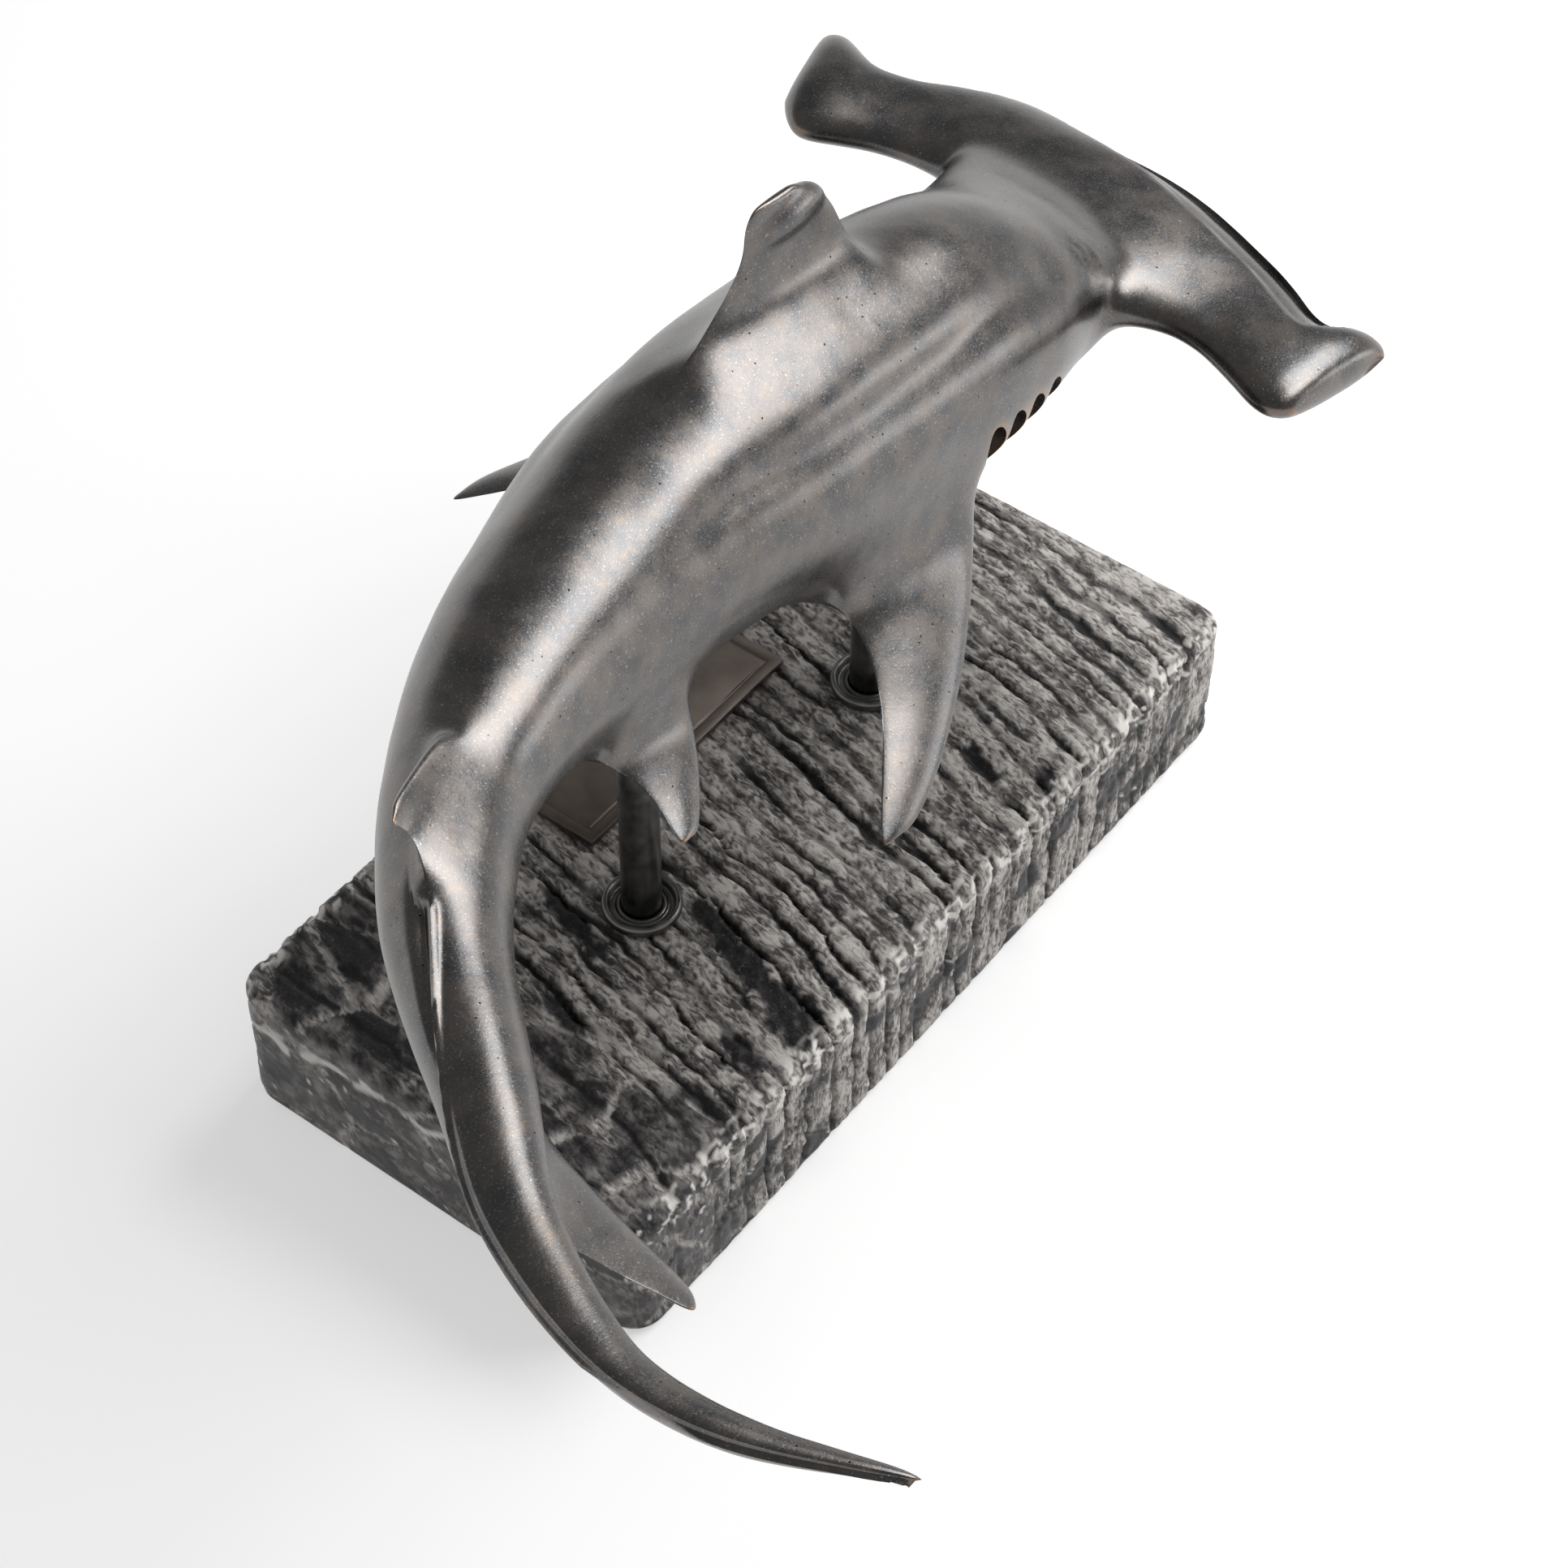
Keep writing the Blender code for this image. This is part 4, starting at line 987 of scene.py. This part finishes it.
def makeShark():
    cage = bpy.data.meshes.new("shark")
    bm = sharkCage()
    bm.to_mesh(cage)
    bm.free()
    shark = showPiece("shark", cage, bronzeSkin)
    surface = shark.modifiers.new("Surface", "SUBSURF")
    surface.levels = casting["level"]
    surface.render_levels = casting["level"]
    bakeModifiers(shark)
    mesh = shark.data
    points, normals = readPoints(mesh), readNormals(mesh)
    workHammerLedge(mesh, points)
    workTail(mesh, points, normals)
    workFlank(mesh, points, normals)
    workDorsalTip(points, normals)
    workRoughPatch(points, normals)
    workSwells(points, normals)
    movePoints(mesh, np.clip(points, *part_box("shark_casting")))
    cutAway(shark, [gillTools(), eyeTools(), dorsalTool(), mouthTool(), socketTools()])
    mesh = shark.data
    for name in cageMarks:
        mesh.attributes.remove(mesh.attributes[name])
    markWear(mesh)
    mesh.shade_smooth()
    mesh.set_sharp_from_angle(angle=math.radians(50))
    settle(shark, "shark_casting")
    print("shark made:", len(mesh.polygons), "faces")


makeShark()


# The slab: worn edges, its soft veins brushed back, and a broken black patch at the tail's end.
# Veins are (x on the long centre line, depth); pockets are (x, y, half length, half width) in mm.
# Ripples are (size, reach, squeeze in height) of the veins' wavering edges.
stone = {
    "corner": 11 * mm,
    "edge": 4 * mm,
    "grid": 1.15 * mm,
    "veins": ((-141, 1.4), (-132, 1.8), (-123, 2.2), (-110, 2.0), (-95, 2.6), (-87, 2.2), (-80, 1.6),
              (-70, 2.2), (-62, 1.8), (-52, 1.6), (-38, 3.0), (-27, 2.6), (-19, 2.4), (-11, 1.8), (-4, 1.4),
              (4, 1.8), (18, 3.0), (23.5, 1.6), (32, 2.4), (40, 1.2), (51, 2.2), (62, 2.2), (74, 2.6),
              (90, 2.0), (99, 1.4), (106, 1.2), (113, 1.4), (120, 1.0), (127, 1.4), (134, 1.2), (141, 1.4)),
    "lean": 0.21,
    "bow": 0.8,
    "wander": 1.1 * mm,
    "straighten": 25 * mm,                 # over this last stretch at each end the veins run straight
    "ripples": ((17 * mm, 1.9 * mm, 1.4), (5.5 * mm, 1.1 * mm, 1.0), (2.2 * mm, 0.45 * mm, 1.0)),
    "hairlines": ((3.1 * mm, 0.75 * mm, 6), (1.7 * mm, 0.4 * mm, 7)),     # pitch, depth and seed
    "skin": ((1.9 * mm, 0.14 * mm), (8 * mm, 0.3 * mm)),                  # size and height
    "whiteVeinLevel": 44 * mm,
    "whiteVeinFall": 0.10,
    "whiteVeinWidth": (1.2 * mm, 2.6 * mm),
    "pockets": ((-60, -60, 18, 8.0), (-54, -40, 17, 6.5), (-47, -22, 16, 5.0), (-79, -56, 14, 4.5),
                (-100, -8, 16, 4.0), (-92, 40, 18, 5.0), (-72, 10, 20, 4.0), (51, -48, 9, 4.0),
                (58, -67, 4, 6.0), (-139, 60, 12, 8.0), (-118, 56, 13, 9.0), (-138, 30, 15, 8.0),
                (-116, 22, 12, 6.0), (12, -52, 20, 1.6), (-100, -62, 14, 2.4), (71, -40, 16, 1.8)),
    "blockSize": 24 * mm,
    "channel": 1.5 * mm,
    "blockDepth": 1.0 * mm,
    "blockReach": (-102 * mm, -90 * mm),   # the blocks lie beyond this x and above this y
    "holeRadius": 4.8 * mm,
    "boreRadius": 14 * mm,
    "boreDepth": 16 * mm,
    "cutSpare": 10 * mm,        # how far the cutting tools stand out of the slab
}


def roundedSlab(points, half):
    # Carries a box's surface onto the slab's: plan corners first, then the worn edges.
    corner, edge = stone["corner"], stone["edge"]
    flat = points[:, :2]
    core = np.clip(flat, -(half[:2] - corner), half[:2] - corner)
    away = flat - core
    reach = np.abs(away).max(axis=1)
    aim = away / np.maximum(np.linalg.norm(away, axis=1), 1e-9)[:, None]
    inset = np.clip(edge - (corner - reach), 0, edge)
    lift = np.clip(edge - (half[2] - np.abs(points[:, 2])), 0, edge)
    length = np.maximum(np.hypot(inset, lift), 1e-9)
    both = np.maximum(inset, lift)
    outward = reach - inset + inset / length * both
    height = np.abs(points[:, 2]) - lift + lift / length * both
    return np.column_stack([core + aim * outward[:, None], np.sign(points[:, 2]) * height])


def veinShift(x, y):
    fade = np.clip((stoneHalf[0] - np.abs(x)) / stone["straighten"], 0, 1)
    wander = stone["wander"] * np.sin(y * 90 + x * 60)
    return (stone["lean"] * y - stone["bow"] * y * y + wander) * fade


def hashed(values, seed):
    return np.modf(np.abs(np.sin(values * 12.9898 + seed) * 43758.5453))[0]


def stoneRelief(points):
    x, y, z = points.T
    side = smoothStep(50 * mm - z, 3 * mm, 8 * mm)      # below the top's worn edge
    cross = x
    for _ in range(3):
        cross = x - veinShift(cross, y)
    for seed, (size, reach, squeeze) in enumerate(stone["ripples"], 1):
        cross = cross + noiseField(points * (1, 1, squeeze), size, seed) * reach
    spread = 1 + 0.75 * noiseField(points * (1, 0.5, 0.5), 9 * mm, 4)
    relief = np.zeros(len(points))
    sunk = np.zeros(len(points))
    for number, (place, depth) in enumerate(stone["veins"]):
        near = np.abs(cross - place * mm)
        width = (0.75 + 0.22 * depth) * mm * spread
        run = noiseField(points[:, [1, 2, 0]] * (1, 1, 0.02) + number, 24 * mm, 5)
        strength = 0.6 + 0.4 * smoothStep(run, -0.3, 0.2)
        line = np.exp(-(near / width) ** 2 * 1.4) * strength
        relief = np.maximum(relief, line * depth * mm)
        sunk = np.maximum(sunk, (1 - smoothStep(near / width, 0.6, 1.35)) * strength)
    # Hairline veins between the main ones.
    for pitch, height, seed in stone["hairlines"]:
        run = (cross + noiseField(points, 9 * mm, seed) * 1.6 * mm) / pitch
        near = np.abs(np.modf(np.abs(run))[0] - 0.5) * 2
        band = np.floor(np.abs(run))
        spots = points * (1, 0.45, 0.6) + 3 * mm * hashed(band, seed)[:, None]
        shown = smoothStep(noiseField(spots, 13 * mm, seed), -0.02, 0.22)
        line = smoothStep(1 - near, 0.62, 0.98) * shown
        relief = np.maximum(relief, line * height)
        sunk = np.maximum(sunk, 0.8 * line)
    # Black pockets, ragged at their rims.
    ragged = noiseField(points, 5 * mm, 8) * 0.9 + noiseField(points, 1.8 * mm, 9) * 0.45
    black = np.zeros(len(points))
    for placeX, placeY, length, width in stone["pockets"]:
        lean = 0.3 * (y - placeY * mm)
        away = np.hypot((x - placeX * mm - lean) / (width * mm), (y - placeY * mm) / (length * mm))
        black = np.maximum(black, 1 - smoothStep(away + ragged * 0.5, 0.72, 1.0))
    black *= 1 - 0.6 * side
    pool = smoothStep(noiseField(points * (0.8, 0.6, 1.2), 11 * mm, 10), 0.22, 0.34) * side
    black = np.maximum(black, pool)
    relief += 0.9 * mm * black * (0.6 + 0.8 * noiseField(points, 3 * mm, 11))
    # Blocks at the tail's end, parted by pale channels.
    reachX, reachY = stone["blockReach"]
    edgeNoise = noiseField(points, 20 * mm, 12) * 14 * mm
    blocks = smoothStep(reachX - x + edgeNoise, -4 * mm, 4 * mm)
    blocks *= smoothStep(y + edgeNoise - reachY, -6 * mm, 6 * mm)
    channel = np.zeros(len(points))
    for index in np.nonzero(blocks > 0.01)[0]:
        spots = Vector(points[index] * (1.1, 0.55, 1.0)) / stone["blockSize"]
        distances = noise.voronoi(spots)[0]
        channel[index] = (distances[1] - distances[0]) * stone["blockSize"]
    channel += ragged * 0.9 * mm
    channel = (1 - smoothStep(channel, stone["channel"] / 2, stone["channel"])) * blocks
    black = np.maximum(black, blocks * (1 - channel) * (0.75 + 0.5 * ragged).clip(0, 1))
    black *= 1 - 0.7 * channel
    sunk *= 1 - 0.85 * channel
    relief = relief * (1 - 0.5 * blocks) + channel * stone["blockDepth"]
    for seed, (size, height) in enumerate(stone["skin"], 13):
        relief += height * noiseField(points, size, seed)
    rim = smoothStep(np.abs(y), 66 * mm, 72 * mm) * smoothStep(z, 38 * mm, 44 * mm)
    flecks = smoothStep(noiseField(points * (0.8, 1, 1), 2.4 * mm, 15), 0.14, 0.22) * rim
    flecks = np.maximum(flecks, smoothStep(noiseField(points, 3.0 * mm, 16), 0.60, 0.68) * side)
    offLine = z - stone["whiteVeinLevel"] + stone["whiteVeinFall"] * (y + 10 * mm)
    offLine = np.abs(offLine + noiseField(points, 11 * mm, 17) * 7 * mm)
    whiteLine = 1 - smoothStep(offLine, *stone["whiteVeinWidth"])
    whiteLine *= (x < -145 * mm) * smoothStep(y, -30 * mm, 0) * smoothStep(ragged, -0.35, 0.1)
    return relief, sunk, black, np.maximum(flecks, whiteLine)


def makeStone():
    top = stoneTop
    half = np.array([stoneHalf[0], stoneHalf[1], top / 2])
    bm = bmesh.new()
    bmesh.ops.create_cube(bm, size=1.0)
    counts = [round(2 * size / stone["grid"]) for size in half]
    for axis, count in enumerate(counts):
        run = [edge for edge in bm.edges if abs((edge.verts[0].co - edge.verts[1].co)[axis]) > 0.5]
        bmesh.ops.subdivide_edges(bm, edges=run, cuts=count - 1, use_grid_fill=True)
    plain = [0.5 - (stone["edge"] + 2 * mm) / size / 2 for size in half]
    bottom = []
    for face in bm.faces:
        middle = face.calc_center_median()
        if face.normal.z < -0.5 and abs(middle.x) < plain[0] and abs(middle.y) < plain[1]:
            bottom.append(face)
    bmesh.ops.dissolve_faces(bm, faces=bottom, use_verts=False)
    mesh = bpy.data.meshes.new("stoneSlab")
    bm.to_mesh(mesh)
    bm.free()
    slab = showPiece("stoneSlab", mesh, marbleSkin)
    points = roundedSlab(readPoints(mesh) * 2 * half, half)
    points[:, 2] += top / 2
    movePoints(mesh, points)
    normals = readNormals(mesh)
    relief, sunk, black, fleck = stoneRelief(points)
    rise = smoothStep(points[:, 2], 0.2 * mm, 5 * mm)
    ends = smoothStep(np.abs(normals[:, 0]), 0.5, 0.9)
    relief = relief * (1 - 0.6 * ends) + 0.2 * mm
    points -= normals * (relief.clip(0.02 * mm) * rise)[:, None]
    movePoints(mesh, points)
    for name, values in (("sunk", sunk * (1 - 0.5 * ends)), ("black", black), ("fleck", fleck)):
        writeMark(mesh, name, values)
    tools = []
    cuts = ((stone["holeRadius"], stone["boreDepth"] - 2 * mm, top + stone["cutSpare"]),
            (stone["boreRadius"], -stone["cutSpare"], stone["boreDepth"]))
    for number, (radius, start, end) in enumerate(cuts):
        holes = bmesh.new()
        for node in ("front_post", "rear_post"):
            middle = sum((Vector(corner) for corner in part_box(node)), Vector()) / 2
            made = bmesh.ops.create_cone(holes, cap_ends=True, segments=48, radius1=radius, radius2=radius,
                                         depth=end - start)
            bmesh.ops.translate(holes, verts=made["verts"], vec=(middle.x, middle.y, (start + end) / 2))
        tools.append(toolFromBmesh("slabTool" + str(number), holes))
    cutAway(slab, tools)
    slab.data.shade_smooth()
    slab.data.set_sharp_from_angle(angle=math.radians(60))
    settle(slab, "stone_base")
    print("stone slab made:", len(slab.data.polygons), "faces")


makeStone()


# Posts: plain round bars, each turned down to a stud that runs through the slab.
post = {"steps": 64, "arris": 0.5 * mm, "studRadius": 4 * mm}
# Collars: a bead rim, a dish and an inner lip.
collar = {
    "steps": 96,
    "arris": 0.4 * mm,
    "bore": 6.3 * mm,
    "lipWidth": 0.9 * mm,
    "lipRise": 0.62,            # rises are shares of the collar's height
    "dishRise": 0.36,
    "bead": 2.2 * mm,
}
washer = {"steps": 64, "arris": 0.3 * mm, "bore": 4.3 * mm}
nut = {"arris": 0.4 * mm, "bore": 4.3 * mm, "boreCut": 20 * mm}


def turnedPiece(name, profile, middle, level, material, steps, closed=True):
    verts = []
    faces = []
    count = len(profile)
    for step in range(steps):
        turn = 2 * math.pi * step / steps
        across, along = math.cos(turn), math.sin(turn)
        verts += [(middle.x + r * across, middle.y + r * along, level + z) for r, z in profile]
        after = (step + 1) % steps
        for row in range(count if closed else count - 1):
            below = (row + 1) % count
            faces.append((step * count + row, after * count + row,
                          after * count + below, step * count + below))
    if not closed:
        faces.append([step * count for step in reversed(range(steps))])
        faces.append([step * count + count - 1 for step in range(steps)])
    mesh = bpy.data.meshes.new(name)
    mesh.from_pydata(verts, [], faces)
    return showPiece(name, mesh, material, smoothAngle=35)


def roundProfile(points, radius, closed=True):
    # Softens each corner of a profile with a short curve, so that the arrises catch light.
    rounded = []
    count = len(points)
    for number, (r, z) in enumerate(points):
        if not closed and number in (0, count - 1):
            rounded.append((r, z))
            continue
        here = Vector((r, z))
        before = Vector(points[number - 1]) - here
        after = Vector(points[(number + 1) % count]) - here
        reach = min(radius, before.length * 0.45, after.length * 0.45)
        start, end = here + before.normalized() * reach, here + after.normalized() * reach
        for step in range(4):
            share = step / 3
            spot = start * (1 - share) ** 2 + here * 2 * share * (1 - share) + end * share ** 2
            rounded.append(tuple(spot))
    return rounded


def nodeSpan(node):
    low, high = (Vector(corner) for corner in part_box(node))
    return low, high, (low + high) / 2


def makePost(node):
    low, high, middle = nodeSpan(node)
    bar = (high.x - low.x) / 2
    seat = stoneTop + seatGap
    profile = [(0.1 * mm, high.z), (bar, high.z), (bar, seat), (post["studRadius"], seat),
               (post["studRadius"], low.z), (0.1 * mm, low.z)]
    profile = roundProfile(profile, post["arris"], closed=False)
    piece = turnedPiece(node.replace("_post", "Post"), profile, middle, 0, steelSkin, post["steps"],
                        closed=False)
    settle(piece, node)


def makeCollar(node):
    low, high, middle = nodeSpan(node)
    outer, inner = (high.x - low.x) / 2, collar["bore"]
    tall = high.z - low.z
    lip, dish = tall * collar["lipRise"], tall * collar["dishRise"]
    bead = collar["bead"]
    profile = [(inner, 0.0), (inner, lip), (inner + collar["lipWidth"], lip), (inner + 1.6 * mm, dish),
               (outer - bead - 0.4 * mm, dish), (outer - bead, tall * 0.78), (outer - bead * 0.72, tall),
               (outer - bead * 0.30, tall), (outer, tall * 0.72), (outer, tall * 0.40),
               (outer - 0.4 * mm, 0.0)]
    profile = roundProfile(profile, collar["arris"])
    piece = turnedPiece(node.replace("_collar", "Collar"), profile, middle, low.z, steelSkin,
                        collar["steps"])
    settle(piece, node)


def makeWasher(node):
    low, high, middle = nodeSpan(node)
    outer, tall = (high.x - low.x) / 2, high.z - low.z
    profile = [(washer["bore"], 0.0), (washer["bore"], tall), (outer, tall), (outer, 0.0)]
    profile = roundProfile(profile, washer["arris"])
    piece = turnedPiece(node.replace("_washer", "Washer"), profile, middle, low.z, zincSkin, washer["steps"])
    settle(piece, node)


def makeNut(node):
    low, high, middle = nodeSpan(node)
    across = min(high.x - low.x, high.y - low.y) / 2
    hexagon = bmesh.new()
    bmesh.ops.create_cone(hexagon, cap_ends=True, segments=6, radius1=across / math.cos(math.pi / 6),
                          radius2=across / math.cos(math.pi / 6), depth=high.z - low.z)
    bmesh.ops.translate(hexagon, verts=hexagon.verts, vec=middle)
    piece = toolFromBmesh(node.replace("_nut", "Nut"), hexagon)
    piece.data.materials.append(zincSkin)
    bore = bmesh.new()
    bmesh.ops.create_cone(bore, cap_ends=True, segments=32, radius1=nut["bore"], radius2=nut["bore"],
                          depth=nut["boreCut"])
    bmesh.ops.translate(bore, verts=bore.verts, vec=middle)
    cutAway(piece, [toolFromBmesh("nutBore", bore)])
    bevel = piece.modifiers.new("Arris", "BEVEL")
    bevel.width = nut["arris"]
    bevel.segments = 2
    bakeModifiers(piece)
    piece.data.set_sharp_from_angle(angle=math.radians(40))
    settle(piece, node)


# Name plate, bare: a fine line sunk round its border and softened edges.
plate = {"border": 3.2 * mm, "line": 0.9 * mm, "lineDepth": 0.5 * mm, "arris": 0.35 * mm}


def makePlate():
    low, high, middle = nodeSpan("name_plate")
    bm = bmesh.new()
    bmesh.ops.create_cube(bm, size=1.0)
    bmesh.ops.scale(bm, verts=bm.verts, vec=high - low)
    top = [face for face in bm.faces if face.normal.z > 0.5]
    for width, depth in ((plate["border"], 0.0), (plate["line"] / 2, -plate["lineDepth"]),
                         (plate["line"] / 2, 0.0), (plate["line"] / 2, plate["lineDepth"])):
        bmesh.ops.inset_region(bm, faces=top, thickness=width, use_even_offset=True)
        bmesh.ops.translate(bm, verts=top[0].verts, vec=(0, 0, depth))
    bmesh.ops.translate(bm, verts=bm.verts, vec=middle)
    piece = toolFromBmesh("namePlate", bm)
    # The plate's pewter is darkened with painted shade for the shark's shadow over it.
    piece.data.materials.append(pewterPaintedShadeSkin)
    bevel = piece.modifiers.new("Arris", "BEVEL")
    bevel.width = plate["arris"]
    bevel.segments = 3
    bevel.limit_method = "ANGLE"
    bakeModifiers(piece)
    piece.data.shade_smooth()
    piece.data.set_sharp_from_angle(angle=math.radians(40))
    settle(piece, "name_plate")


for end in ("front", "rear"):
    makePost(end + "_post")
    makeCollar(end + "_collar")
    makeWasher(end + "_washer")
    makeNut(end + "_nut")
makePlate()
print("posts, collars, fixings and plate made")


# Lamps are (place, size, watts); each looks at the casting's middle.
studio = {
    "floorSize": 16.0,
    "floorColour": "#dcdcdc",
    "floorGlow": (0.50, 0.85),            # near the object, and out where the lamps fall off
    "glowReach": (0.55, 1.8),
    "skyStops": ((0.09, "#ffffff"), (0.26, "#808080")),
    "aim": (0.0, 0.0, 0.2),
    "keyLamp": ((0.85, -0.32, 1.10), (1.2, 0.62), 16.0),
    "stripLamp": ((0.95, -0.93, 0.34), (0.40, 0.34), 1.5),
}


def addBackgroundRays(tree):
    # One where the eye, a mirror or a glass looks at the paper itself, and not where it lights.
    rays = addNode(tree, "LightPath").outputs
    seen = rays["Is Camera Ray"]
    for name in ("Is Glossy Ray", "Is Transmission Ray"):
        seen = addNode(tree, "Math", {"operation": "MAXIMUM"}, {0: seen, 1: rays[name]}).outputs[0]
    return seen


# White background paper: matte, and lifted to white only where the eye or a mirror looks at it,
# so that it keeps the shadow.
def makeFloor():
    size = studio["floorSize"] / 2
    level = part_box("stone_base")[0][2]
    paper = {"Roughness": 0.9, "Specular IOR Level": 0.2, "Base Color": toLinear(studio["floorColour"]),
             "Emission Color": (1, 1, 1, 1)}
    material, tree, shader = newMaterial("White background paper", paper)
    place = addNode(tree, "TexCoord").outputs["Object"]
    away = addNode(tree, "VectorMath", {"operation": "LENGTH"}, {0: place}).outputs["Value"]
    near, far = studio["glowReach"]
    low, high = studio["floorGlow"]
    strength = addNode(tree, "MapRange", inputs={0: away, 1: near, 2: far, 3: low, 4: high}).outputs[0]
    glow = addNode(tree, "Math", {"operation": "MULTIPLY"}, {0: addBackgroundRays(tree), 1: strength})
    tree.links.new(glow.outputs[0], shader.inputs["Emission Strength"])
    mesh = bpy.data.meshes.new("floor")
    corners = [(x * size, y * size, level) for x, y in ((-1, -1), (1, -1), (1, 1), (-1, 1))]
    mesh.from_pydata(corners, [], [(0, 1, 2, 3)])
    showPiece("floor", mesh, material)


def makeSky():
    world = bpy.data.worlds.new("Studio")
    bpy.context.scene.world = world
    world.use_nodes = True
    tree = world.node_tree
    background = tree.nodes["Background"]
    # The paper runs up behind the horizon, and the room above it is dim, as the metal's mirror shows.
    place = addNode(tree, "TexCoord").outputs["Generated"]
    rise = addNode(tree, "SeparateXYZ", inputs={0: place}).outputs["Z"]
    room = addNode(tree, "ValToRGB", {"stops": studio["skyStops"]}, {0: rise}).outputs[0]
    tree.links.new(room, background.inputs["Color"])
    background.inputs["Strength"].default_value = 1.0


def addLamp(name):
    place, size, watts = studio[name]
    lamp = bpy.data.lights.new(name, "AREA")
    lamp.shape = "RECTANGLE"
    lamp.size, lamp.size_y = size
    lamp.energy = watts
    holder = bpy.data.objects.new(name, lamp)
    bpy.context.scene.collection.objects.link(holder)
    holder.location = place
    holder.rotation_euler = (Vector(studio["aim"]) - Vector(place)).to_track_quat("-Z", "Y").to_euler()


# The photograph's view, worked out from the slab's corners, the collars and the plate.
view = {
    "place": (-0.578, -0.44105, 0.8846),
    "heading": 36.612,           # degrees from +X towards +Y
    "down": 48.836,
    "tilt": 0.684,
    "lens": 84.48,
}


def makeCamera():
    heading, down, tilt = (math.radians(view[name]) for name in ("heading", "down", "tilt"))
    ahead = Vector((math.cos(down) * math.cos(heading), math.cos(down) * math.sin(heading), -math.sin(down)))
    level = Vector((math.sin(heading), -math.cos(heading), 0))
    above = level.cross(ahead)
    right = level * math.cos(tilt) + above * math.sin(tilt)
    up = above * math.cos(tilt) - level * math.sin(tilt)
    data = bpy.data.cameras.new("Camera")
    data.sensor_width = 36.0
    data.lens = view["lens"]
    camera = bpy.data.objects.new("Camera", data)
    bpy.context.scene.collection.objects.link(camera)
    turned = Matrix((right, up, -ahead)).transposed().to_4x4()
    camera.matrix_world = Matrix.Translation(view["place"]) @ turned
    bpy.context.scene.camera = camera


makeFloor()
makeSky()
addLamp("keyLamp")
addLamp("stripLamp")
makeCamera()
bpy.context.scene.view_settings.view_transform = "Standard"
print("stage set")
